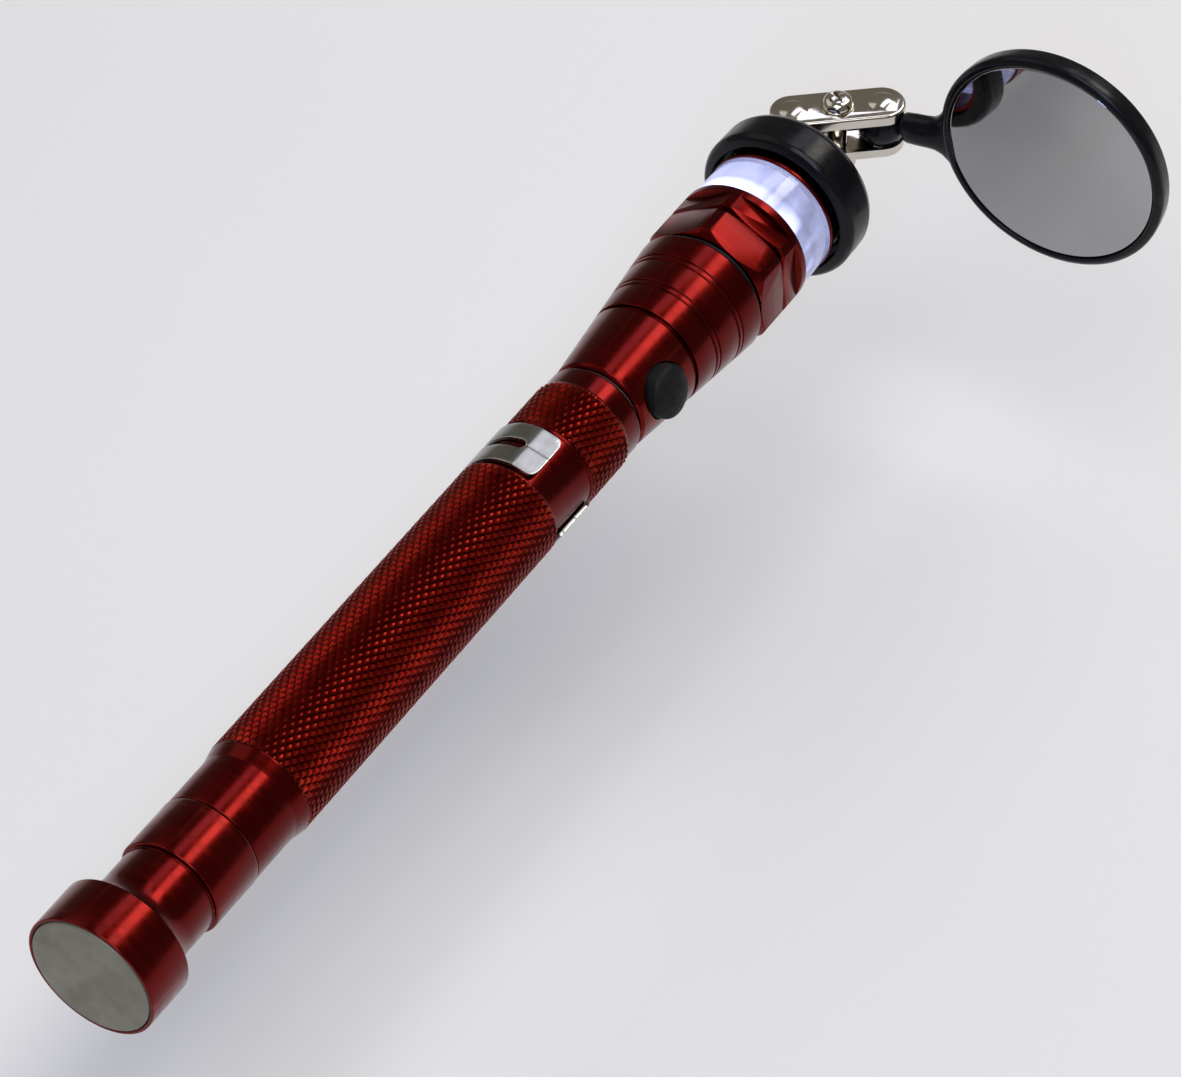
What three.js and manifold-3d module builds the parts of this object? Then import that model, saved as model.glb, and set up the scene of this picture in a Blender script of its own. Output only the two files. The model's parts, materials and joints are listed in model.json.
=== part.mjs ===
// Telescoping inspection mirror: a pocket torch on a telescopic rod, with magnets at both ends
// and a slip-on mirror on a double ball joint.
// Millimetres, +Z up. The origin is the centre of the tail magnet's face and +X runs along the
// tool to the lamp head. The rod is closed and the mirror stands out to the -Y side.
import * as THREE from 'three';
import { mergeVertices } from 'three/addons/utils/BufferGeometryUtils.js';
import Module from 'manifold-3d';

const wasm = await Module();
wasm.setup();

// ---------------------------------------------------------------- driving dimensions
const HANDLE_RADIUS = 8.0;            // over the knurling
const RUNNING_GAP = 0.1;              // radial gap between neighbouring pieces
const WELD_TOLERANCE = 1e-4;
const ROUND_SEGMENTS = 28;
const SMALL_SEGMENTS = 12;
const MIRROR_SEGMENTS = 40;
const BALL_SIDES = 16;
const BALL_RINGS = 10;

// stations along +X
const TAIL_CAP_START = 0.2;
const FLANGE_END = 7.9;
const NECK_START = 12.0;
const NECK_END = 16.9;
const HANDLE_START = 26.3;
const GRIP_END = 34.8;
const KNURL_START = 37.2;
const KNURL_END = 96.4;
const CLIP_SEAT_START = 96.9;
const CLIP_SEAT_END = 105.9;
const FRONT_KNURL_START = 106.3;
const FRONT_KNURL_END = 115.0;
const HANDLE_END = 119.1;
const HEAD_START = 119.5;
const BARREL_GROOVE = 131.3;
const FINE_GROOVES = [136.1, 137.0, 141.3, 142.2];
const BARREL_RIM = 146.4;
const BARREL_END = 147.0;
const COLLAR_START = 148.0;
const COLLAR_SPLIT = 154.0;
const COLLAR_END = 158.8;
const LENS_END = 166.0;
const CAP_RIM_END = 166.8;
const CAP_END = 173.0;
const HOLDER_START = 167.3;
const HOLDER_END = 174.2;

// radii
const FLANGE_RADIUS = 1.2 * HANDLE_RADIUS;
const NECK_RADIUS = 0.88 * HANDLE_RADIUS;
const TAIL_BAND_RADIUS = 0.945 * HANDLE_RADIUS;
const GRIP_RADIUS = 0.935 * HANDLE_RADIUS;
const HANDLE_BORE = 6.5;
const CLIP_SEAT_RADIUS = 7.35;
const CLIP_TURN = THREE.MathUtils.degToRad(-25);  // the tongue's place about +X, from +Y
const FRONT_KNURL_RADIUS = 0.975 * HANDLE_RADIUS;
const FRONT_COLLAR_RADIUS = 0.94 * HANDLE_RADIUS;
const BARREL_REAR_RADIUS = 0.925 * HANDLE_RADIUS;
const BARREL_RIM_RADIUS = 1.275 * HANDLE_RADIUS;
const BARREL_BORE = 6.6;
const BARREL_NOSE_RADIUS = 8.3;
const BARREL_NOSE_END = 152.5;
const COLLAR_RADIUS = 1.306 * HANDLE_RADIUS;
const COLLAR_FLAT = 0.9 * COLLAR_RADIUS;
const COLLAR_SIDES = 6;
const COLLAR_TURN = THREE.MathUtils.degToRad(27);  // of the first flat about +X, from +Z
const LENS_RADIUS = 10.1;
const HOLDER_RADIUS = 12.5;
const CAP_NOSE_RADIUS = 9.4;
const HOLDER_BORE = CAP_NOSE_RADIUS + 0.15;

// magnets
const TAIL_MAGNET_RADIUS = 8.95;
const TAIL_MAGNET_LENGTH = 4.0;
const FRONT_MAGNET_RADIUS = 3.6;
const FRONT_MAGNET_START = 155.3;
const FRONT_MAGNET_END = 170.2;

// telescopic rod
const TUBE_COUNT = 6;                 // the first is fixed in the handle, the rest slide
const FIRST_TUBE_RADIUS = 3.9;
const TUBE_STEP = 0.5;
const TUBE_WALL = 0.25;
const TUBE_PLAY = 0.06;
const FIRST_TUBE_REAR = 38.4;
const FIRST_TUBE_FRONT = 115.8;
const TUBE_REAR_STEP = 1.0;
const TUBE_FRONT_STEP = 0.6;
const COLLAR_LENGTH = 4.0;
const LIP_LENGTH = 1.2;
const ROD_TIP = 121.0;
const BUSH_START = 110.3;

// push button
const BUTTON_X = 125.4;
const BUTTON_RADIUS = 3.9;
const BUTTON_TRAVEL = 0.8;
const BUTTON_ANGLE = 2.84;            // about +X from +Y: the near side, a little above level
const BUTTON_FOOT = 6.0;              // from the tool's axis
const BUTTON_SHOULDER = 8.8;
const BUTTON_TOP = 10.0;

// button cells
const CELL_COUNT = 4;
const CELL_RADIUS = 5.8;
const CELL_LENGTH = 5.4;
const CELL_PITCH = 5.5;
const CELL_START = 131.5;

// lamp
const LED_COUNT = 3;
const LED_RADIUS = 1.9;
const LED_CIRCLE = 5.75;
const LED_START = 155.2;
const LED_TIP = 161.8;
const BOARD_START = 153.9;
const BOARD_THICKNESS = 1.15;
const BOARD_RADIUS = 8.2;

// mirror linkage
const BALL_RADIUS = 3.6;
const BALL_A = new THREE.Vector3(182.83, 6.19, 0.56);
const BALL_SPACING = 13.15;
const BRACKET_ANGLE = THREE.MathUtils.degToRad(-50.2);
const POST_ROOT = new THREE.Vector3(173.0, 10.8, 2.0);
const PLATE_INNER = 3.2;
const PLATE_OUTER = 4.0;
const PLATE_HALF_WIDTH = 3.45;
const PLATE_LIP_DEPTH = 1.7;
const PLATE_LIP_THICKNESS = 0.7;
const SEAT_GAP = 0.3;
const DIMPLE_RADIUS = BALL_RADIUS + 0.95;
const SCREW_RADIUS = 1.5;
const PIN_RADIUS = 0.9;
const PIN_DEPTH = 1.9;

// mirror
const MIRROR_REACH = 28.94;           // ball centre to glass centre
const MIRROR_LIFT = THREE.MathUtils.degToRad(12.6);
const FRAME_RADIUS = 17.95;
const FRAME_BACK = -2.1;
const FRAME_FRONT = 1.7;
const GLASS_RADIUS = 16.5;
const GLASS_FRONT = 1.45;
const GLASS_THICKNESS = 2.0;
const PAD_RADIUS = 14.0;
const PAD_THICKNESS = 0.2;

// ---------------------------------------------------------------- finishes
const FINISHES = {
  redAnodised: { color: 0x8e120e, roughness: 0.28, metalness: 0.9 },
  magnetNickel: { color: 0xa7a694, roughness: 0.45, metalness: 0.7 },
  chrome: { color: 0xd0d2d4, roughness: 0.15, metalness: 1.0 },
  springSteel: { color: 0xb9babc, roughness: 0.25, metalness: 1.0 },
  blackPlastic: { color: 0x0b0c0f, roughness: 0.25, metalness: 0.0 },
  blackRubber: { color: 0x121313, roughness: 0.7, metalness: 0.0 },
  clearAcrylic: { color: 0xdfe4ff, roughness: 0.1, metalness: 0.0 },
  ledEpoxy: { color: 0xf2f4ff, roughness: 0.15, metalness: 0.0 },
  circuitBoard: { color: 0x1f5a34, roughness: 0.6, metalness: 0.0 },
  nylon: { color: 0xd8d5c8, roughness: 0.6, metalness: 0.0 },
  mirrorSilver: { color: 0xc9cdd6, roughness: 0.03, metalness: 1.0 },
  foam: { color: 0x26262a, roughness: 0.9, metalness: 0.0 },
};

// ---------------------------------------------------------------- geometry helpers
function signedVolume(geometry) {
  const bare = geometry.index ? geometry.toNonIndexed() : geometry;
  const position = bare.getAttribute('position');
  const [a, b, c] = [new THREE.Vector3(), new THREE.Vector3(), new THREE.Vector3()];
  let sum = 0;
  for (let i = 0; i < position.count; i += 3) {
    a.fromBufferAttribute(position, i);
    b.fromBufferAttribute(position, i + 1);
    c.fromBufferAttribute(position, i + 2);
    sum += a.dot(b.cross(c));
  }
  return sum;
}

// Turns an [x, radius] outline about the X axis, with its faces pointing out.
function turned(outline, segments = ROUND_SEGMENTS) {
  const build = (points) => {
    const geometry = new THREE.LatheGeometry(points, segments);
    geometry.rotateZ(-Math.PI / 2);
    return geometry;
  };
  const points = outline.map(([x, radius]) => new THREE.Vector2(radius, x));
  const geometry = build(points);
  return signedVolume(geometry) > 0 ? geometry : build(points.reverse());
}

// A tube's outline closes on itself.
function tubeOutline(points) {
  return [...points, points[0]];
}

function rod(startX, endX, radius, segments = SMALL_SEGMENTS) {
  return turned([[startX, 0], [startX, radius], [endX, radius], [endX, 0]], segments);
}

// A quarter-wave between two [x, radius] points, for concave and rounded shoulders.
function easedOutline([startX, startRadius], [endX, endRadius], steps) {
  const points = [];
  for (let i = 0; i <= steps; i += 1) {
    const t = i / steps;
    const ease = Math.sin((t * Math.PI) / 2);
    points.push([startX + (endX - startX) * t, startRadius + (endRadius - startRadius) * ease]);
  }
  return points;
}

// A square-bottomed groove at x in a surface of the given radius.
function groove(x, width, radius, depth) {
  return [[x, radius], [x, radius - depth], [x + width, radius - depth], [x + width, radius]];
}

function toSolid(geometry) {
  const bare = geometry.clone();
  bare.deleteAttribute('normal');
  bare.deleteAttribute('uv');
  const merged = mergeVertices(bare, WELD_TOLERANCE);
  const index = merged.index.array;
  const triVerts = [];
  for (let i = 0; i < index.length; i += 3) {
    const [a, b, c] = [index[i], index[i + 1], index[i + 2]];
    if (a !== b && b !== c && c !== a) triVerts.push(a, b, c);
  }
  const vertProperties = Float32Array.from(merged.getAttribute('position').array);
  const mesh = new wasm.Mesh({ numProp: 3, vertProperties, triVerts: Uint32Array.from(triVerts) });
  return new wasm.Manifold(mesh);
}

function toGeometry(solid) {
  const mesh = solid.getMesh();
  const geometry = new THREE.BufferGeometry();
  geometry.setAttribute('position', new THREE.BufferAttribute(mesh.vertProperties, 3));
  geometry.setIndex(new THREE.BufferAttribute(mesh.triVerts, 1));
  geometry.computeVertexNormals();
  return geometry;
}

function box(sizeX, sizeY, sizeZ, centre) {
  const geometry = new THREE.BoxGeometry(sizeX, sizeY, sizeZ);
  geometry.translate(...centre);
  return geometry;
}

// Lays a piece drawn along +X so that it starts at a point and runs in a direction.
function aimed(geometry, start, direction) {
  const turn = new THREE.Quaternion().setFromUnitVectors(new THREE.Vector3(1, 0, 0), direction);
  const placed = geometry.clone();
  placed.applyQuaternion(turn);
  placed.translate(start.x, start.y, start.z);
  return placed;
}

const tool = new THREE.Group();

function addPiece(parent, name, geometry, finish) {
  const mesh = new THREE.Mesh(geometry, new THREE.MeshStandardMaterial(FINISHES[finish]));
  mesh.name = name;
  parent.add(mesh);
  return mesh;
}

// ---------------------------------------------------------------- tail
function tailMagnet() {
  const chamfer = 0.3;
  return turned([
    [0, 0],
    [0, TAIL_MAGNET_RADIUS - chamfer],
    [chamfer, TAIL_MAGNET_RADIUS],
    [TAIL_MAGNET_LENGTH, TAIL_MAGNET_RADIUS],
    [TAIL_MAGNET_LENGTH, 0],
  ]);
}

function tailCap() {
  const pocket = TAIL_MAGNET_LENGTH + RUNNING_GAP;
  const spigotRadius = HANDLE_BORE - RUNNING_GAP;
  const spigotStart = HANDLE_START - RUNNING_GAP;
  const spigotEnd = 34.0;
  const bevel = 0.3;
  return turned([
    [pocket, 0],
    [pocket, TAIL_MAGNET_RADIUS + RUNNING_GAP],
    [TAIL_CAP_START, TAIL_MAGNET_RADIUS + RUNNING_GAP],
    [TAIL_CAP_START, FLANGE_RADIUS - 0.35],
    [TAIL_CAP_START + 0.35, FLANGE_RADIUS],
    ...easedOutline([FLANGE_END, FLANGE_RADIUS], [NECK_START, NECK_RADIUS], 8),
    [NECK_END, NECK_RADIUS],
    [NECK_END + bevel, TAIL_BAND_RADIUS],
    [spigotStart - bevel, TAIL_BAND_RADIUS],
    [spigotStart, TAIL_BAND_RADIUS - bevel],
    [spigotStart, spigotRadius],
    [spigotEnd, spigotRadius],
    [spigotEnd, 0],
  ]);
}

// ---------------------------------------------------------------- handle
function handleTube() {
  const bevel = 0.4;
  return turned(tubeOutline([
    [HANDLE_START, HANDLE_BORE],
    [HANDLE_START, GRIP_RADIUS - bevel],
    [HANDLE_START + bevel, GRIP_RADIUS],
    [GRIP_END, GRIP_RADIUS],
    [KNURL_START, HANDLE_RADIUS],
    [KNURL_END, HANDLE_RADIUS],
    [KNURL_END + bevel, GRIP_RADIUS],
    [CLIP_SEAT_START, GRIP_RADIUS],
    [CLIP_SEAT_START, CLIP_SEAT_RADIUS],
    [CLIP_SEAT_END, CLIP_SEAT_RADIUS],
    [CLIP_SEAT_END, GRIP_RADIUS],
    [FRONT_KNURL_START, FRONT_KNURL_RADIUS],
    [FRONT_KNURL_END, FRONT_KNURL_RADIUS],
    [FRONT_KNURL_END + bevel, FRONT_COLLAR_RADIUS],
    [HANDLE_END - bevel, FRONT_COLLAR_RADIUS],
    [HANDLE_END, FRONT_COLLAR_RADIUS - bevel],
    [HANDLE_END, HANDLE_BORE],
  ]));
}

// A spring-steel band most of the way round, slotted, with a tongue folded back along the handle.
function pocketClip() {
  const thickness = 0.6;
  const innerRadius = CLIP_SEAT_RADIUS + RUNNING_GAP;
  const outerRadius = innerRadius + thickness;
  const start = CLIP_SEAT_START + 0.5;
  const end = CLIP_SEAT_END - 0.5;
  const halfWrap = THREE.MathUtils.degToRad(142);
  const mouthReach = 20;
  const hoop = toSolid(turned(tubeOutline([
    [start, innerRadius],
    [start, outerRadius],
    [end, outerRadius],
    [end, innerRadius],
  ])));
  const mouthShape = new THREE.Shape([
    new THREE.Vector2(0, 0),
    new THREE.Vector2(mouthReach * Math.cos(halfWrap), mouthReach * Math.sin(halfWrap)),
    new THREE.Vector2(-mouthReach, mouthReach),
    new THREE.Vector2(-mouthReach, -mouthReach),
    new THREE.Vector2(mouthReach * Math.cos(halfWrap), -mouthReach * Math.sin(halfWrap)),
  ]);
  const mouth = new THREE.ExtrudeGeometry(mouthShape, { depth: mouthReach, bevelEnabled: false });
  mouth.rotateY(Math.PI / 2);
  mouth.rotateX(Math.PI / 2);
  mouth.translate(start - 5, 0, 0);
  const slotWidth = 1.7;
  const slotHeight = 2 * outerRadius + 2;
  const slotCentre = (start + end) / 2;
  const slotNear = -3.4;
  const slotFar = 5.6;
  const slotY = (slotNear + slotFar) / 2;
  const slot = toSolid(box(slotWidth, slotFar - slotNear, slotHeight, [slotCentre, slotY, 0]));

  const tongueHalfWidth = 2.6;
  const tipX = 54;
  const outline = new THREE.Shape();
  const foldX = end + 2.8;
  outline.moveTo(start + 4.5, outerRadius - 0.45);
  outline.lineTo(end - 0.4, outerRadius - 0.45);
  outline.lineTo(foldX - 1.2, outerRadius + 0.35);
  outline.quadraticCurveTo(foldX + 1.2, outerRadius + 1.3, foldX - 1.6, outerRadius + 2.5);
  outline.lineTo(tipX + 8, HANDLE_RADIUS + 1.25);
  outline.lineTo(tipX, HANDLE_RADIUS + 3.0);
  outline.lineTo(tipX, HANDLE_RADIUS + 2.4);
  outline.lineTo(tipX + 8, HANDLE_RADIUS + 0.5);
  outline.lineTo(foldX - 2.0, outerRadius + 1.85);
  outline.quadraticCurveTo(foldX - 0.3, outerRadius + 1.3, foldX - 1.6, outerRadius + 0.95);
  outline.lineTo(end - 0.8, outerRadius + 0.1);
  outline.lineTo(start + 4.5, outerRadius + 0.1);
  const tongue = new THREE.ExtrudeGeometry(outline, {
    depth: 2 * tongueHalfWidth,
    bevelEnabled: false,
    curveSegments: 6,
  });
  tongue.translate(0, 0, -tongueHalfWidth);
  const band = hoop.subtract(toSolid(mouth)).subtract(slot);
  const clip = toGeometry(band.add(toSolid(tongue)));
  clip.rotateX(CLIP_TURN);
  return clip;
}

function anchorPlug() {
  const start = 34.4;
  const seat = FIRST_TUBE_REAR - RUNNING_GAP;
  const end = 46.0;
  const bore = FIRST_TUBE_RADIUS + RUNNING_GAP;
  return turned([
    [start, 0],
    [start, HANDLE_BORE - RUNNING_GAP],
    [end, HANDLE_BORE - RUNNING_GAP],
    [end, bore],
    [seat, bore],
    [seat, 0],
  ]);
}

function frontBush() {
  return turned(tubeOutline([
    [BUSH_START, FIRST_TUBE_RADIUS + RUNNING_GAP],
    [BUSH_START, HANDLE_BORE - RUNNING_GAP],
    [HANDLE_END - 0.2, HANDLE_BORE - RUNNING_GAP],
    [HANDLE_END - 0.2, FIRST_TUBE_RADIUS + RUNNING_GAP],
  ]));
}

// ---------------------------------------------------------------- telescopic rod
// Each tube has a stop collar at its rear and a turned-in lip at its front.
function rodTube(number) {
  const radius = FIRST_TUBE_RADIUS - TUBE_STEP * number;
  const inner = radius - TUBE_WALL;
  const collar = number === 0 ? radius : radius + TUBE_STEP - TUBE_WALL - TUBE_PLAY;
  const lip = radius - TUBE_STEP + TUBE_PLAY;
  const rear = FIRST_TUBE_REAR + TUBE_REAR_STEP * number;
  const front = FIRST_TUBE_FRONT + TUBE_FRONT_STEP * number;
  return turned(tubeOutline([
    [rear, inner],
    [rear, collar],
    [rear + COLLAR_LENGTH, collar],
    [rear + COLLAR_LENGTH, radius],
    [front, radius],
    [front, lip],
    [front - LIP_LENGTH, lip],
    [front - LIP_LENGTH, inner],
  ]), SMALL_SEGMENTS);
}

function rodTip() {
  const number = TUBE_COUNT - 1;
  const radius = FIRST_TUBE_RADIUS - TUBE_STEP * number;
  const collar = radius + TUBE_STEP - TUBE_WALL - TUBE_PLAY;
  const rear = FIRST_TUBE_REAR + TUBE_REAR_STEP * number;
  return turned([
    [rear, 0],
    [rear, collar],
    [rear + COLLAR_LENGTH, collar],
    [rear + COLLAR_LENGTH, radius],
    [ROD_TIP, radius],
    [ROD_TIP, 0],
  ], SMALL_SEGMENTS);
}

// ---------------------------------------------------------------- head
const buttonAxis = new THREE.Vector3(0, Math.cos(BUTTON_ANGLE), Math.sin(BUTTON_ANGLE));
const buttonCentre = new THREE.Vector3(BUTTON_X, 0, 0);

function coneRadius(x) {
  const t = (x - HEAD_START) / (BARREL_RIM - HEAD_START);
  return BARREL_REAR_RADIUS + (BARREL_RIM_RADIUS - BARREL_REAR_RADIUS) * t;
}

function headBarrel() {
  const bevel = 0.4;
  const grooves = [[BARREL_GROOVE, 0.8, 0.5], ...FINE_GROOVES.map((x) => [x, 0.35, 0.2])];
  const shell = turned(tubeOutline([
    [HEAD_START, BARREL_BORE],
    [HEAD_START, BARREL_REAR_RADIUS - bevel],
    [HEAD_START + bevel, coneRadius(HEAD_START + bevel)],
    ...grooves.flatMap(([x, width, depth]) => groove(x, width, coneRadius(x), depth)),
    [BARREL_RIM, BARREL_RIM_RADIUS],
    [BARREL_END, BARREL_RIM_RADIUS - 0.7],
    [BARREL_END, BARREL_NOSE_RADIUS],
    [BARREL_NOSE_END, BARREL_NOSE_RADIUS],
    [BARREL_NOSE_END, BARREL_BORE],
  ]));
  const hole = aimed(rod(2, 14, BUTTON_RADIUS + 0.35, ROUND_SEGMENTS), buttonCentre, buttonAxis);
  return toGeometry(toSolid(shell).subtract(toSolid(hole)));
}

function pushButton() {
  const outline = [[BUTTON_FOOT, 0], [BUTTON_FOOT, BUTTON_RADIUS]];
  const steps = 7;
  for (let i = 0; i < steps; i += 1) {
    const angle = (i / steps) * (Math.PI / 2);
    const rise = (BUTTON_TOP - BUTTON_SHOULDER) * Math.sin(angle);
    outline.push([BUTTON_SHOULDER + rise, BUTTON_RADIUS * Math.cos(angle)]);
  }
  outline.push([BUTTON_TOP, 0]);
  return aimed(turned(outline, 20), buttonCentre, buttonAxis);
}

function rearPlug() {
  const tipRadius = FIRST_TUBE_RADIUS - TUBE_STEP * (TUBE_COUNT - 1);
  return turned(tubeOutline([
    [HEAD_START + 0.2, tipRadius + RUNNING_GAP],
    [HEAD_START + 0.2, BARREL_BORE - RUNNING_GAP],
    [ROD_TIP, BARREL_BORE - RUNNING_GAP],
    [ROD_TIP, tipRadius + RUNNING_GAP],
  ]));
}

// The switch block is cut flat under the button, clear of its travel.
function switchBlock() {
  const block = toSolid(rod(ROD_TIP + 0.3, CELL_START - 2.1, BARREL_BORE - 0.3, ROUND_SEGMENTS));
  const flat = BUTTON_FOOT - BUTTON_TRAVEL - 0.3;
  const cut = aimed(box(8, 30, 30, [flat + 4, 0, 0]), buttonCentre, buttonAxis);
  return toGeometry(block.subtract(toSolid(cut)));
}

function batterySpring() {
  const wireRadius = 0.22;
  const turns = 2.5;
  const steps = 36;
  const start = CELL_START - 1.8;
  const length = 1.3;
  const points = [];
  for (let i = 0; i <= steps; i += 1) {
    const t = i / steps;
    const angle = 2 * Math.PI * turns * t;
    const radius = 4.4 - 1.8 * t;
    const x = start + 0.25 + length * t;
    points.push(new THREE.Vector3(x, radius * Math.cos(angle), radius * Math.sin(angle)));
  }
  const wire = new THREE.Shape();
  wire.absarc(0, 0, wireRadius, 0, 2 * Math.PI, false);
  return new THREE.ExtrudeGeometry(wire, {
    extrudePath: new THREE.CatmullRomCurve3(points),
    steps,
    curveSegments: 3,
    bevelEnabled: false,
  });
}

function batterySleeve() {
  const end = CELL_START + CELL_PITCH * CELL_COUNT;
  return turned(tubeOutline([
    [CELL_START, CELL_RADIUS + RUNNING_GAP],
    [CELL_START, BARREL_BORE - RUNNING_GAP],
    [end, BARREL_BORE - RUNNING_GAP],
    [end, CELL_RADIUS + RUNNING_GAP],
  ]));
}

function buttonCell(number) {
  const start = CELL_START + 0.05 + CELL_PITCH * number;
  return turned([
    [start, 0],
    [start, CELL_RADIUS - 1.2],
    [start + 0.5, CELL_RADIUS - 1.0],
    [start + 0.5, CELL_RADIUS],
    [start + CELL_LENGTH, CELL_RADIUS],
    [start + CELL_LENGTH, 0],
  ]);
}

// A turned collar with six flats, split in two by a V groove.
function hexCollar() {
  const bevel = 1.0;
  const bore = BARREL_NOSE_RADIUS + RUNNING_GAP + 0.1;
  const vDepth = 0.55;
  const blank = toSolid(turned(tubeOutline([
    [COLLAR_START, bore],
    [COLLAR_START, COLLAR_RADIUS - bevel],
    [COLLAR_START + bevel, COLLAR_RADIUS],
    [COLLAR_SPLIT - vDepth, COLLAR_RADIUS],
    [COLLAR_SPLIT, COLLAR_RADIUS - vDepth],
    [COLLAR_SPLIT + vDepth, COLLAR_RADIUS],
    [COLLAR_END - 0.2, COLLAR_RADIUS],
    [COLLAR_END, COLLAR_RADIUS - 0.2],
    [COLLAR_END, bore],
  ])));
  const flatStart = COLLAR_START - 1;
  const flatEnd = COLLAR_END - 1.5;
  let collar = blank;
  for (let i = 0; i < COLLAR_SIDES; i += 1) {
    const slab = box(flatEnd - flatStart, 20, 4, [(flatStart + flatEnd) / 2, 0, COLLAR_FLAT + 2]);
    slab.rotateX((2 * Math.PI * i) / COLLAR_SIDES + COLLAR_TURN);
    collar = collar.subtract(toSolid(slab));
  }
  return toGeometry(collar);
}

function sealRing() {
  const centreX = (BARREL_END + COLLAR_START) / 2;
  const section = 0.5;
  const sides = 8;
  const outline = [];
  for (let i = 0; i <= sides; i += 1) {
    const angle = (2 * Math.PI * (i % sides)) / sides;
    outline.push([centreX + section * Math.cos(angle), 9.0 + section * Math.sin(angle)]);
  }
  return turned(outline);
}

function ledBoard() {
  return rod(BOARD_START, BOARD_START + BOARD_THICKNESS, BOARD_RADIUS, ROUND_SEGMENTS);
}

function led(number) {
  const angle = (2 * Math.PI * number) / LED_COUNT;
  const body = turned([
    [LED_START, 0],
    [LED_START, LED_RADIUS],
    [LED_TIP - LED_RADIUS, LED_RADIUS],
    [LED_TIP - 0.8, LED_RADIUS * 0.8],
    [LED_TIP - 0.2, LED_RADIUS * 0.42],
    [LED_TIP, 0],
  ], SMALL_SEGMENTS);
  body.translate(0, LED_CIRCLE * Math.cos(angle), LED_CIRCLE * Math.sin(angle));
  return body;
}

// A clear cup: its base sits in the collar, its wall shows and its front is holed for the magnet.
function clearLens() {
  const innerRadius = 7.9;
  const front = LENS_END - 1.4;
  return turned(tubeOutline([
    [LED_START + 0.05, innerRadius],
    [LED_START + 0.05, 8.35],
    [COLLAR_END + RUNNING_GAP, 8.35],
    [COLLAR_END + RUNNING_GAP, LENS_RADIUS],
    [LENS_END, LENS_RADIUS],
    [LENS_END, FRONT_MAGNET_RADIUS + RUNNING_GAP],
    [front, FRONT_MAGNET_RADIUS + RUNNING_GAP],
    [front, innerRadius],
  ]));
}

function frontCap() {
  const start = LENS_END + RUNNING_GAP;
  return turned(tubeOutline([
    [start, 8.6],
    [start, LENS_RADIUS + 0.1],
    [CAP_RIM_END, LENS_RADIUS + 0.1],
    [CAP_RIM_END, CAP_NOSE_RADIUS],
    [CAP_END, CAP_NOSE_RADIUS],
    [CAP_END, 8.6],
  ]));
}

function frontMagnet() {
  return rod(FRONT_MAGNET_START, FRONT_MAGNET_END, FRONT_MAGNET_RADIUS, ROUND_SEGMENTS);
}

// ---------------------------------------------------------------- mirror linkage
const postAxis = BALL_A.clone().sub(POST_ROOT).normalize();
const postLength = BALL_A.distanceTo(POST_ROOT);

// The ring's rear face is recessed round the cap and a little dished.
function holderRing() {
  const recess = HOLDER_START + 2.2;
  const face = HOLDER_START + 0.8;
  const faceInner = 10.7;
  const faceOuter = 11.85;
  const ring = turned(tubeOutline([
    [recess, HOLDER_BORE],
    [recess, faceInner],
    [face, faceInner],
    [face, faceOuter],
    [HOLDER_START, HOLDER_RADIUS - 0.3],
    [HOLDER_START + 0.3, HOLDER_RADIUS],
    [HOLDER_END - 1.2, HOLDER_RADIUS - 0.1],
    [HOLDER_END, HOLDER_RADIUS - 0.7],
    [HOLDER_END, HOLDER_BORE],
  ]));
  const shoulder = postLength - BALL_RADIUS - SEAT_GAP;
  const pinEnd = postLength - BALL_RADIUS + PIN_DEPTH;
  const post = turned([
    [0, 0],
    [0, 1.4],
    [2.4, 1.5],
    [4.0, 1.9],
    [shoulder, 1.4],
    [shoulder, PIN_RADIUS],
    [pinEnd, PIN_RADIUS],
    [pinEnd, 0],
  ], SMALL_SEGMENTS);
  return toGeometry(toSolid(ring).add(toSolid(aimed(post, POST_ROOT, postAxis))));
}

// A ball bored for a pin that comes from the given direction.
function boredBall(centre, towardsPin) {
  const ball = new THREE.SphereGeometry(BALL_RADIUS, BALL_SIDES, BALL_RINGS);
  ball.translate(centre.x, centre.y, centre.z);
  const bore = rod(BALL_RADIUS - PIN_DEPTH - SEAT_GAP, BALL_RADIUS + 2, PIN_RADIUS + 0.15);
  return toGeometry(toSolid(ball).subtract(toSolid(aimed(bore, centre, towardsPin))));
}

// A flat bar with round ends about the two balls, from one height to another.
function capsule(halfWidth, startZ, endZ) {
  const half = BALL_SPACING / 2;
  const outline = new THREE.Shape();
  outline.moveTo(-half, -halfWidth);
  outline.lineTo(half, -halfWidth);
  outline.absarc(half, 0, halfWidth, -Math.PI / 2, Math.PI / 2, false);
  outline.lineTo(-half, halfWidth);
  outline.absarc(-half, 0, halfWidth, Math.PI / 2, (3 * Math.PI) / 2, false);
  const bar = new THREE.ExtrudeGeometry(outline, {
    depth: endZ - startZ,
    bevelEnabled: false,
    curveSegments: 12,
  });
  bar.translate(0, 0, startZ);
  return toSolid(bar);
}

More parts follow.
